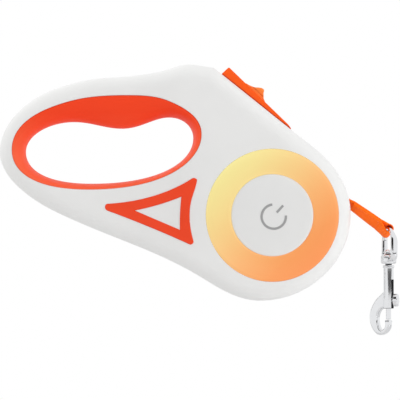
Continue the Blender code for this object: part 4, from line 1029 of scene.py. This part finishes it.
def make_brake(looks):
    """Thumb lever with its pawl and pin eye, and the lock nub that slides on it."""
    nose = LEVER_LENGTH - PIN_S
    skirt = PIN_DEPTH - LEVER_SKIRT
    profile = [
        (-PIN_S + 0.4 * MM, PIN_DEPTH + LEVER_H - 0.1 * MM),
        (-PIN_S / 2, PIN_DEPTH + LEVER_NOSE_H + (LEVER_H - LEVER_NOSE_H) / 2),
        (0.0, PIN_DEPTH + LEVER_NOSE_H),
        (nose - 0.7 * MM, PIN_DEPTH + 0.6 * MM),
        (nose, PIN_DEPTH - 0.7 * MM),
        (nose - 0.3 * MM, skirt),
        (-PIN_S, skirt),
        (-PIN_S - 0.3 * MM, PIN_DEPTH),
    ]
    loop = [Vector(p) for p in rounded_profile(profile, 0.8 * MM, 5, ring=True)]
    half = LEVER_W / 2
    lever = plate("thumb_lever", [loop], -half, half, LEVER_FRAME, rounding=SOFT_EDGE, round_steps=3)
    lever = boolean(lever, [make_pawl(skirt)], "UNION")

    place = SLIDER_PLACE - PIN_S
    top = PIN_DEPTH + LEVER_NOSE_H - place * math.tan(LEVER_TILT)
    nub_frame = LEVER_FRAME @ Matrix.Translation((place, top, 0.0)) @ Matrix.Rotation(-LEVER_TILT, 4, "Z")
    half_stem = SLIDER_STEM / 2
    half_w = SLIDER_STEM_W / 2
    snap_top = skirt - top - GAP - SLIDER_TRAVEL * math.tan(LEVER_TILT)
    snap_end = snap_top - SLIDER_SNAP_T
    slot = block(
        "slot",
        (-half_stem - 2 * GAP, snap_end - LEVER_SKIRT, -half_w - GAP),
        (half_stem + SLIDER_TRAVEL + 2 * GAP, 2 * SLIDER_H, half_w + GAP),
        nub_frame,
    )
    foot = ((-2 * PIN_S, PIN_DEPTH - GROOVE_H), (2 * PIN_S, PIN_DEPTH + GROOVE_H))
    pin_eye = rod("eye", PIN_R + GAP, -LEVER_W, LEVER_W, LEVER_FRAME)
    cuts = [pin_eye, slot, *flank_grooves(*foot, half, LEVER_FRAME)]
    lever = boolean(lever, cuts, "DIFFERENCE")
    dress(lever, looks["lever"], "brake", "lever_plastic", "brake_lever")

    front = SLIDER_FRONT / MM
    tail = SLIDER_TAIL / MM
    height = SLIDER_H / MM
    low = SNUG / MM
    crest = [
        smooth(front, low + 0.1, 155, 0.1, 0.6),
        smooth(0.56 * front, 0.38 * height, 128, 1.1, 0.9),
        smooth(0.29 * front, 0.79 * height, 108, 0.8, 0.4),
        smooth(0.09 * front, 0.99 * height, 180, 0.5, 0.4),
        smooth(-0.1 * tail, 0.92 * height, 207, 0.5, 1.2),
        smooth(-0.58 * tail, 0.29 * height, 200, 1.6, 1.2),
        smooth(-tail, low + 0.2, 186, 1.4, 0.1),
    ]
    loop = [Vector((-SLIDER_TAIL, SNUG)), Vector((SLIDER_FRONT, SNUG))]
    loop += bezier_points(crest, 8, closed=False)
    half = SLIDER_W / 2
    nub = crowned_bar("lock_nub", loop, half, nub_frame)
    base = ((-SLIDER_TAIL, NUB_BASE_H), (SLIDER_FRONT, NUB_BASE_H + NUB_GROOVE))
    nub = boolean(nub, flank_grooves(*base, half, nub_frame), "DIFFERENCE")
    snap_w = half_w + GAP + SLIDER_SNAP
    long = half_stem + GAP
    nub = boolean(nub, [
        block("stem", (-half_stem, snap_end, -half_w), (half_stem, 2 * GAP, half_w), nub_frame),
        block("snap", (-long, snap_end - GAP, -snap_w), (long, snap_top - GAP, snap_w), nub_frame),
    ], "UNION")
    dress(nub, looks["nub"], "lock", "lever_plastic", "lock_slider")


def crowned_bar(name, loop, half_w, place):
    """A side profile given width, its sides rounded over towards the top."""
    low = min(p.y for p in loop)
    sections = []
    steps = 6
    for side in (-1, 1):
        order = range(steps + 1) if side < 0 else range(steps, -1, -1)
        for k in order:
            turn = QUARTER * k / steps
            drop = 1 - CROWN_DROP * (1 - math.sin(turn))
            depth = half_w - CROWN * math.sin(turn)
            sections.append([(p.x, low + (p.y - low) * drop, side * depth) for p in loop])
    return loft(name, sections, place)


def make_mouthpiece(looks):
    """The tape's mouth in the front wall, its lip rounded."""
    guide = mouth_bar("mouthpiece", GUIDE_WALL)
    outside = plate("outside", [CASE_LOOP], -BODY_HALF, BODY_HALF, CASE_FRAME, rounding=EDGE_ROUND)
    guide = boolean(guide, [outside], "INTERSECT")
    guide = boolean(guide, [
        rod("inside", CASE_R - GUIDE_T, -BODY_HALF, BODY_HALF, REEL_FRAME, FINE),
        mouth_bar("slot", 0.0),
    ], "DIFFERENCE")
    soften(guide, GUIDE_SOFT)
    dress(bake(guide), looks["guide"], "casing", "inner_plastic", "tape_guide")


def soften(obj, width):
    """Round a piece's sharp edges."""
    bevel = obj.modifiers.new("soften", "BEVEL")
    bevel.width = width
    bevel.segments = 2
    bevel.limit_method = "ANGLE"
    bevel.angle_limit = math.radians(40.0)
    bevel.harden_normals = False


# Tape


def tape_twist(run):
    """Turn of the tape about its line: most at the end of the fold, a little less at the loop."""
    flare_start = TAPE_RUN - FLARE
    base = TAPE_TWIST * smoothstep((run - TWIST_START) / (TWIST_END - TWIST_START))
    more = smoothstep((run - MORE_START) / (flare_start - MORE_START))
    relaxed = smoothstep((run - flare_start) / (0.85 * FLARE))
    return base + TWIST_MORE * more * (1 - relaxed)


def tape_section(centre, flat, thick, thickness):
    """Corners of a tape's cross-section with rounded selvedges."""
    half_w = TAPE_W / 2
    half_t = thickness / 2
    points = []
    face = [(0.97, 1.0), (0.5, 1.0), (0.0, 1.0), (-0.5, 1.0), (-0.97, 1.0), (-1.0, 0.6), (-1.0, -0.6)]
    for side in (1, -1):
        for across, deep in face:
            points.append(centre + flat * (half_w * side * across) + thick * (half_t * side * deep))
    return points


def woven(name, line, thickness):
    """A tape along (centre, flat direction, thickness direction) places, with weave coordinates."""
    sections = [tape_section(c, f, t, thickness) for c, f, t in line]
    obj = loft(name, sections, HOME)
    lengths = [0.0]
    for first, second in zip(line, line[1:]):
        lengths.append(lengths[-1] + (second[0] - first[0]).length)
    spots = {}
    for k, (centre, flat, _) in enumerate(line):
        for i, point in enumerate(sections[k]):
            across = (point - centre).dot(flat)
            spots[k * len(sections[k]) + i] = (lengths[k] / WEAVE_UNIT, across / WEAVE_UNIT)
    layer = obj.data.uv_layers.new(name="weave")
    for loop in obj.data.loops:
        layer.data[loop.index].uv = spots[loop.vertex_index]
    return obj


def run_place(run, lift):
    """Place on the tape's straight run, lifted across its thickness."""
    turn = -tape_twist(run)
    flat = TAPE_TURN @ Vector((0.0, math.sin(turn), math.cos(turn)))
    thick = TAPE_TURN @ Vector((0.0, math.cos(turn), -math.sin(turn)))
    return TAPE_FRAME @ Vector((run, COIL_R, 0.0)) + thick * lift, flat, thick


def make_tape(looks):
    """The free tape, looped round the eye with its tail sewn back under it, and the wound tape."""
    lift = TAPE_T / 2 + SNUG
    middle_r = LOOP_R - TAPE_T / 2 - LOOP_SLACK
    slant = math.asin((middle_r - lift) / FLARE)
    contact = TAPE_RUN - middle_r * math.sin(slant)

    def layer(run):
        """Distance of each layer from the tape's line: together along the fold, parting to the loop."""
        joined = lift * smoothstep((run - FOLD_START + 3 * MM) / (3 * MM))
        return joined + math.tan(slant) * max(0.0, run - TAPE_RUN + FLARE)

    strand = []
    for k in range(RUN_STEPS + 1):
        run = GAP + (contact - GAP) * k / RUN_STEPS
        strand.append(run_place(run, layer(run)))
    centre, flat, up = run_place(TAPE_RUN, 0.0)
    along = TAPE_TURN @ Vector((1, 0, 0))
    bend = []
    for k in range(1, BEND_STEPS + 1):
        angle = (QUARTER + slant) * (1 - 2 * k / BEND_STEPS)
        out = along * math.cos(angle) + up * math.sin(angle)
        bend.append((centre + out * middle_r, flat, out))
    band = woven("tape_strand", strand + bend, 0.95 * TAPE_T)
    tail_line = []
    for k in range(BEND_STEPS + 1):
        run = contact - SNUG - (contact - SNUG - FOLD_START) * k / BEND_STEPS
        tail_line.append(run_place(run, -layer(run)))
    tail = woven("tape_tail", tail_line, 0.95 * TAPE_T)
    stitches = make_stitches(lift)
    dress(band, looks["tape"], "tape", "tape_webbing", "tape_leader", angle=60.0)
    dress(tail, looks["tape"], "tape", "tape_webbing", angle=60.0)
    for piece in (band, tail):
        shade_inside(piece, looks["tape_painted_shadow"], middle_r - TAPE_T / 4)
    dress(stitches, looks["thread"], "tape", "tape_webbing", angle=60.0)

    turns = (COIL_R - HUB_R - GAP - TAPE_T / 2) / TAPE_T
    count = int(turns * TURN_STEPS)
    wound = []
    for k in range(count + 1):
        share = k / count
        angle = QUARTER + GAP / COIL_R + 2 * math.pi * turns * share
        out = Vector((math.cos(angle), math.sin(angle), 0.0))
        radius = COIL_R - TAPE_T * turns * share
        wound.append((TAPE_FRAME @ (out * radius), TAPE_TURN @ UP, TAPE_TURN @ out))
    coil = woven("wound_tape", wound, 0.9 * TAPE_T)
    dress(coil, looks["tape"], "reel", "tape_webbing", "tape_pack", angle=60.0)
    return band, tail, stitches


def shade_inside(piece, look, reach):
    """Deepen the colour of the loop's inner face, which lies in its own shadow."""
    piece.data.materials.append(look)
    for face in piece.data.polygons:
        off = face.center - LOOP_PLACE
        off -= LOOP_AXIS * off.dot(LOOP_AXIS)
        if off.length < reach:
            face.material_index = 1


def make_stitches(lift):
    """Sewing that holds the fold: two rows across and two along, on both faces."""
    work = bmesh.new()
    face = lift + TAPE_T / 2
    low = FOLD_START + 2.2 * MM
    high = TAPE_RUN - FLARE - 0.4 * MM
    edge = TAPE_W / 2 - 1.1 * MM
    rows = []
    for side in (-1, 1):
        rows.append([(low + (high - low) * k / 8, side * edge) for k in range(9)])
    for run in (low, high):
        rows.append([(run, -edge + 2 * edge * k / 4) for k in range(5)])
    for top in (1, -1):
        for row in rows:
            for (run_a, across_a), (run_b, across_b) in zip(row, row[1:]):
                place_a, flat_a, thick_a = run_place(run_a, top * face)
                place_b, flat_b, _ = run_place(run_b, top * face)
                start = place_a + flat_a * across_a
                end = place_b + flat_b * across_b
                add_stitch(work, start.lerp(end, 0.1), start.lerp(end, 0.9), thick_a * top)
    bmesh.ops.recalc_face_normals(work, faces=work.faces)
    return mesh_object("loop_stitching", work, HOME)


def add_stitch(work, start, end, out):
    """One stitch of thread: a short bowed tube that dips into the tape at both ends."""
    across = (end - start).normalized().cross(out).normalized()
    rings = []
    for k in range(6):
        share = k / 5
        height = THREAD_R * (2.0 * math.sin(math.pi * share) - 1.0)
        middle = start.lerp(end, share) + out * height * 0.5
        rings.append(oval(middle, across * THREAD_R, out * THREAD_R, 6))
    skin(work, rings)


# Snap


# Line of the eye's wire in its own plane: far leg, arch, near leg and foot
EYE_LINE = bezier_points([
    smooth(7.3, 1.9, 90, 1.5, 1.15),
    smooth(6.2, 5.03, 129, 1.15, 1.48),
    smooth(2.64, 7.55, 160.7, 1.48, 1.37),
    smooth(-1.39, 7.88, 190, 1.37, 4.0),
    smooth(-8.0, 2.0, 270, 3.8, 1.5),
    smooth(-8.0, -4.2, 270, 1.5, 1.65),
    smooth(-5.0, -7.2, 0, 1.65, 2.0),
    smooth(4.3, -7.2, 0, 2.0, 1.65),
    smooth(7.3, -4.2, 90, 1.65, 1.5),
], [6, 8, 8, 12, 4, 8, 4, 8, 4])


def make_eye(looks):
    """The swivel eye: a cast stirrup, heavier towards its drilled boss."""
    points = []
    sizes = []
    for spot in EYE_LINE:
        heavy = smoothstep(1.2 * (1 - max(spot.y, 0.0) / EYE_R))
        foot = smoothstep(-spot.y / EYE_DROP)
        broad = EYE_FAR_BROAD if spot.x < 0 else EYE_NEAR_BROAD
        broad += (EYE_FOOT_BROAD - broad) * foot
        bow = EYE_BOW * heavy * smoothstep(-spot.x / EYE_R)
        points.append((spot.x, -bow, spot.y))
        sizes.append((EYE_WIRE_R * (1 + EYE_SWELL * heavy), EYE_WIRE_R * (1 + broad * heavy)))
    turn = math.atan2(EYE_ACROSS.y, EYE_ACROSS.x)
    place = Matrix.Translation(EYE_MIDDLE) @ Matrix.Rotation(turn, 4, "Z")
    eye = sweep("swivel_eye", points, sizes, place)
    low = -EYE_DROP - SWIVEL_H / 2
    high = -EYE_DROP + SWIVEL_H / 2
    boss = [
        (0.0, high),
        (SWIVEL_R * 0.86, high),
        (SWIVEL_R, high - 0.9 * MM),
        (SWIVEL_R, low + 0.9 * MM),
        (SWIVEL_R * 0.86, low),
        (0.0, low),
    ]
    eye = boolean(eye, [turned("boss", rounded_profile(boss, 0.5 * MM), place, MEDIUM)], "UNION")
    bore = rod("bore", STEM_R + GAP, low - SWIVEL_H, high + SWIVEL_H / 2, place)
    eye = boolean(eye, [bore], "DIFFERENCE")
    even(eye)
    return dress(eye, looks["chrome"], "eye", "chrome", "hook_eye", angle=40.0)


HOOK_LOOP = bezier_points([
    corner(-1.0, -12.2, 50, 3, 0, 0.5),
    corner(1.0, -12.2, 0, 0.5, -90, 3),
    corner(1.0, -21.6, -90, 3, 180, 0.6),
    smooth(-2.3, -22.0, 180, 0.8, 1.8),
    smooth(-5.6, -27.0, -90, 2.6, 2.4),
    smooth(-3.4, -32.6, 0, 1.3, 1.1),
    smooth(-1.3, -30.2, 90, 1.3, 0.6),
    corner(-1.3, -27.7, 90, 0.6, 0, 0.5),
    corner(1.3, -27.7, 0, 0.5, -90, 0.6),
    smooth(1.3, -30.2, -90, 0.6, 2.6),
    smooth(-4.2, -35.3, 180, 2.8, 3.2),
    smooth(-10.3, -26.2, 90, 4.6, 3.4),
    smooth(-7.4, -18.4, 58, 2.6, 2.2),
], 8)


def blacken_bore(hook, look):
    """Painted shade: give the walls of the bore and slot, and the swivel stem between its collar and head,
    the dark material, for the shade in these recesses and gaps.
    """
    hook.data.materials.append(look)
    to_snap = SNAP_FRAME.inverted() @ hook.matrix_world
    for face in hook.data.polygons:
        middle = to_snap @ face.center
        inside = middle.xy.length < SNAP_BARREL_R - SNUG and middle.z > -SNAP_BARREL_LENGTH + SNUG
        if inside and middle.z < -SNAP_BORE_TOP + SNUG:
            face.material_index = 1
        if middle.xy.length < STEM_R + SNUG and -SWIVEL_PLAY < middle.z < SWIVEL_H + 2 * SWIVEL_PLAY:
            face.material_index = 1


def make_snap(looks):
    """Hook body on its swivel stem, the sprung bolt and its coil."""
    head = SWIVEL_H + 2 * GAP
    profile = [
        (0.0, head + STEM_HEAD_H),
        (STEM_HEAD_R * 0.7, head + STEM_HEAD_H),
        (STEM_HEAD_R, head + STEM_HEAD_H * 0.45),
        (STEM_HEAD_R, head + SWIVEL_PLAY),
        (STEM_R, head + SWIVEL_PLAY),
        (STEM_R, -SWIVEL_PLAY),
        (COLLAR_R, -SWIVEL_PLAY),
        (COLLAR_R, -1.4 * MM),
        (SNAP_BARREL_R, -1.7 * MM),
        (SNAP_BARREL_R, -SNAP_BARREL_LENGTH),
        (0.0, -SNAP_BARREL_LENGTH),
    ]
    hook = turned("snap_hook", rounded_profile(profile, 0.4 * MM), SNAP_FRAME, MEDIUM)
    flat = SNAP_FRAME @ UPRIGHT
    arm = plate("arm", [HOOK_LOOP], -HOOK_T / 2, HOOK_T / 2, flat, rounding=1.0 * MM, round_steps=5)
    hook = boolean(hook, [arm], "UNION")
    bore_low = -SNAP_BARREL_LENGTH - MM
    half_slot = KNOB_STEM_R + GAP
    slot_out = 2 * SNAP_BARREL_R
    hook = boolean(hook, [
        rod("bore", BOLT_R + GAP, bore_low, -SNAP_BORE_TOP, SNAP_FRAME),
        block("slot", (0.0, -half_slot, bore_low), (slot_out, half_slot, -BOLT_SLOT_TOP), SNAP_FRAME),
    ], "DIFFERENCE")
    dress(hook, looks["chrome"], "hook", "chrome", "hook_body", angle=40.0)
    # Painted shade in the bore, the slot and the gap round the swivel stem.
    blacken_bore(hook, looks["dark"])
    even(hook)

    bolt_profile = [
        (0.0, -BOLT_TOP),
        (BOLT_R, -BOLT_TOP),
        (BOLT_R, -HOOK_TIP + GAP),
        (0.0, -HOOK_TIP + GAP),
    ]
    bolt = turned("snap_bolt", rounded_profile(bolt_profile, 0.3 * MM), SNAP_FRAME, MEDIUM)
    knob_in = SNAP_BARREL_R + GAP
    stem = SNAP_FRAME @ Matrix.Translation((0, 0, -KNOB_DEPTH)) @ Matrix.Rotation(QUARTER, 4, "Y")
    half_h = KNOB_H / 2 / MM
    half_w = KNOB_W / 2 / MM
    rim = bezier_points([
        smooth(half_h, 0.0, 90, 0.55 * half_w, 0.55 * half_w),
        smooth(0.0, half_w, 180, 0.55 * half_h, 0.55 * half_h),
        smooth(-half_h, 0.0, 270, 0.55 * half_w, 0.55 * half_w),
        smooth(0.0, -half_w, 0, 0.55 * half_h, 0.55 * half_h),
    ], 12)
    knob = plate("knob", [rim], knob_in, knob_in + KNOB_T, stem, rounding=KNOB_T / 4, round_steps=4)
    pitch = 1.5 * MM
    half_rib = 0.28 * MM
    floor = knob_in + KNOB_T - 0.4 * MM
    past = knob_in + 2 * KNOB_T
    ribs = []
    for middle in (-pitch, 0.0, pitch):
        ribs.append(block(
            "rib", (middle - half_rib, -KNOB_W, floor), (middle + half_rib, KNOB_W, past), stem
        ))
    knob = boolean(knob, ribs, "DIFFERENCE")
    bolt = boolean(bolt, [rod("stem", KNOB_STEM_R, 0.0, knob_in + KNOB_T / 2, stem), knob], "UNION")
    dress(bolt, looks["chrome"], "bolt", "chrome", "hook_bolt", angle=40.0)
    even(bolt)
    return hook, bolt


# Springs and screws


def coil_spring(name, radius, flare, low, high, turns, wire_r, place):
    """A round-wire spring about local z, widening by flare."""
    count = turns * 24
    sections = []
    for k in range(count + 1):
        share = k / count
        angle = 2 * math.pi * turns * share
        out = Vector((math.cos(angle), math.sin(angle), 0.0))
        rise = low + wire_r + (high - low - 2 * wire_r) * share
        middle = out * (radius + flare * share) + Vector((0, 0, rise))
        sections.append(oval(middle, out * wire_r, Vector((0, 0, wire_r)), 8))
    return loft(name, sections, place)


def make_springs(looks):
    """The three return springs."""
    skirt = PIN_DEPTH - LEVER_SKIRT
    end = skirt - GAP
    low = end - BRAKE_SPRING_LENGTH
    back = Matrix.Translation((-BRAKE_SPRING_BACK, 0, 0))
    place = LEVER_FRAME @ back @ Matrix.Rotation(-QUARTER, 4, "X")
    spring = coil_spring("brake_coil", BRAKE_SPRING_R, 0.0, low, end, 5, BRAKE_WIRE_R, place)
    dress(spring, looks["steel"], "casing", "steel", "brake_spring")
    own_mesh(spring)

    low = BOARD_SEAT
    end = BUTTON_UNDER - GAP
    radius = BUTTON_SPRING_R
    flare = BUTTON_SPRING_FLARE
    spring = coil_spring("button_coil", radius, flare, low, end, 2, BUTTON_WIRE_R, REEL_FRAME)
    dress(spring, looks["steel"], "casing", "steel", "button_spring")
    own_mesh(spring)

    low = -BOLT_TOP + GAP
    top = -SNAP_BORE_TOP - GAP
    radius = BOLT_R - BOLT_WIRE_R
    spring = coil_spring("bolt_coil", radius, 0.0, low, top, 6, BOLT_WIRE_R, SNAP_FRAME)
    dress(spring, looks["steel"], "hook", "steel", "bolt_spring")
    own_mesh(spring)
    return spring


def make_screws(looks):
    """Pan-head screws with cross recesses, put in from the back."""
    places = []
    for number, (x, z) in enumerate(SCREW_PLACES, 1):
        node = f"case_screw_{number}"
        places.append((f"cross_{node}", node, x, z, screw_face(x) - SCREW_SINK, SCREW_REACH))
    end = AXLE_SCREW_LENGTH - BODY_HALF
    places.append(("cross_axle_screw", "axle_screw", REEL_X, REEL_Z, BODY_HALF - AXLE_SCREW_SINK, end))
    for name, node, x, z, top, end in places:
        profile = [
            (0.0, end),
            (SCREW_R * 0.5, end),
            (SCREW_R, end - 0.8 * MM),
            (SCREW_R, SCREW_HEAD_T - top),
            (SCREW_HEAD_R, SCREW_HEAD_T - top),
            (SCREW_HEAD_R, 0.6 * MM - top),
            (SCREW_HEAD_R * 0.7, -top),
            (0.0, -top),
        ]
        place = side_frame(x, z)
        screw = turned(name, rounded_profile(profile, 0.3 * MM), place, MEDIUM)
        reach = 1.5 * MM
        half = 0.34 * MM
        low = -top - MM
        high = 0.8 * MM - top
        screw = boolean(screw, [
            block("bar", (-reach, -half, low), (reach, half, high), place),
            block("cross", (-half, -reach, low), (half, reach, high), place),
        ], "DIFFERENCE")
        dress(screw, looks["steel"], "casing", "steel", node, angle=40.0)


def repaint(looks):
    """Better materials for the solids that keep their shape."""
    plain = {
        "natural": ("reel", "spring_cover"),
        "dark": ("light_housing", "tact_switch"),
        "board": ("led_board",),
        "lens": tuple(f"led_{k}" for k in range(1, 7)),
        "brass": ("reel_bush",),
        "steel": ("axle", "brake_pin", "battery_1", "battery_2", "mainspring"),
    }
    for look, names in plain.items():
        for name in names:
            NODES[name].data.materials.clear()
            NODES[name].data.materials.append(looks[look])


# Stage, light and camera

FILL = 0.73
FLAG_REACH = 0.12
FLOOR_R = 0.7
FLOOR_GAP = 0.06
VIEW_MIDDLE = Vector((0.046, 0.0, -0.024))
VIEW_WIDTH = 0.2
CAMERA_REACH = 8.0
SENSOR = 36.0
LIGHT_AIM = Vector((0.05, 0.0, -0.02))


def make_floor():
    """A pale floor below the hanging part, clear when looked at from underneath."""
    work = bmesh.new()
    bmesh.ops.create_circle(work, cap_ends=True, segments=96, radius=FLOOR_R)
    floor = mesh_object("floor", work, Matrix.Translation((VIEW_MIDDLE.x, 0.0, CAD_LOW.z - FLOOR_GAP)))
    look = Look("pale_floor").set(Roughness=0.9)
    look.cloud(3.0, 2.0, (0.82, 0.82, 0.82, 1.0), (0.85, 0.85, 0.85, 1.0))
    behind = look.node("NewGeometry").outputs["Backfacing"]
    clear = look.node("BsdfTransparent").outputs["BSDF"]
    surface = look.mix(behind, look.shader.outputs["BSDF"], clear)
    look.put(look.nodes["Material Output"].inputs["Surface"], surface)
    floor.data.materials.append(look.material)


def make_flag(name, drop, turn, width, height, foot, grey):
    """A dark card before the snap, seen only in its plating, as used to give chrome its dark streaks."""
    toward = math.radians(turn)
    place = SNAP_TOP + Vector((math.sin(toward), -math.cos(toward), 0.0)) * FLAG_REACH
    place.z -= drop
    work = bmesh.new()
    bmesh.ops.create_grid(work, x_segments=1, y_segments=1, size=0.5)
    bmesh.ops.scale(work, vec=(width, height, 1.0), verts=work.verts)
    for vert in work.verts:
        if vert.co.y < 0:
            vert.co.x *= foot
    facing = Matrix.Rotation(toward, 4, "Z") @ UPRIGHT
    flag = mesh_object(name, work, Matrix.Translation(place) @ facing)
    look = Look(name + "_cloth").set(Roughness=0.9, Specular_IOR_Level=0.0)
    pale = (grey, grey, grey, 1.0)
    look.cloud(40.0, 2.0, shade(pale, 0.6), pale)
    flag.data.materials.append(look.material)
    flag.visible_camera = False
    flag.visible_diffuse = False
    flag.visible_transmission = False
    flag.visible_shadow = False


def make_world():
    """White where it is seen; as light, an even tent."""
    world = bpy.data.worlds.new("studio")
    bpy.context.scene.world = world
    world.use_nodes = True
    tree = Tree(world.node_tree)
    tree.nodes.clear()
    white = (1.0, 1.0, 1.0, 1.0)
    seen = tree.node("Background", Color=white, Strength=1.0).outputs["Background"]
    fill = tree.node("Background", Color=white, Strength=FILL).outputs["Background"]
    rays = tree.node("LightPath").outputs
    first = tree.math("MAXIMUM", rays["Is Camera Ray"], rays["Is Glossy Ray"])
    both = tree.math("MAXIMUM", first, rays["Is Transmission Ray"])
    tree.node("OutputWorld", Surface=tree.mix(both, fill, seen))


def area_light(name, place, size, power):
    """A round lamp turned to the part, out of sight and out of the plating."""
    data = bpy.data.lights.new(name, "AREA")
    data.shape = "DISK"
    data.size = size
    data.energy = power
    obj = add_object(name, data, Matrix.Translation(place))
    obj.rotation_euler = (LIGHT_AIM - Vector(place)).to_track_quat("-Z", "Y").to_euler()
    obj.visible_camera = False
    obj.visible_glossy = False


def make_camera():
    """Square to the lit side, far off, with half a millimetre to each pixel of a 400 pixel frame."""
    data = bpy.data.cameras.new("camera")
    data.sensor_width = SENSOR
    data.lens = SENSOR * CAMERA_REACH / VIEW_WIDTH
    data.clip_end = 5 * CAMERA_REACH
    place = VIEW_MIDDLE - Vector((0.0, CAMERA_REACH, 0.0))
    camera = add_object("camera", data, Matrix.Translation(place))
    camera.rotation_euler = (QUARTER, 0.0, 0.0)
    bpy.context.scene.camera = camera


def main():
    bpy.context.scene.view_settings.view_transform = "Standard"
    make_camera()
    looks = make_looks()
    repaint(looks)
    strand, tail, stitches = make_tape(looks)
    eye = make_eye(looks)
    hook, bolt = make_snap(looks)
    springs = make_springs(looks)
    make_casing(looks)
    make_grips(looks)
    make_trims(looks)
    make_light(looks)
    make_brake(looks)
    make_mouthpiece(looks)
    make_screws(looks)
    make_floor()
    make_flag("barrel_flag", drop=8.6 * MM, turn=25.0, width=0.3, height=14.0 * MM, foot=0.4, grey=0.16)
    make_flag("eye_flag", drop=-35.6 * MM, turn=-32.0, width=0.16, height=60.0 * MM, foot=1.0, grey=0.02)
    make_world()
    area_light("front", (-0.2, -0.25, 0.4), size=0.3, power=0.45)
    area_light("top", (0.05, 0.1, 0.8), size=0.5, power=1.4)
    area_light("left", (-0.8, 0.0, 0.1), size=0.5, power=0.97)
    area_light("right", (0.45, -0.2, -0.15), size=0.3, power=1.24)


main()
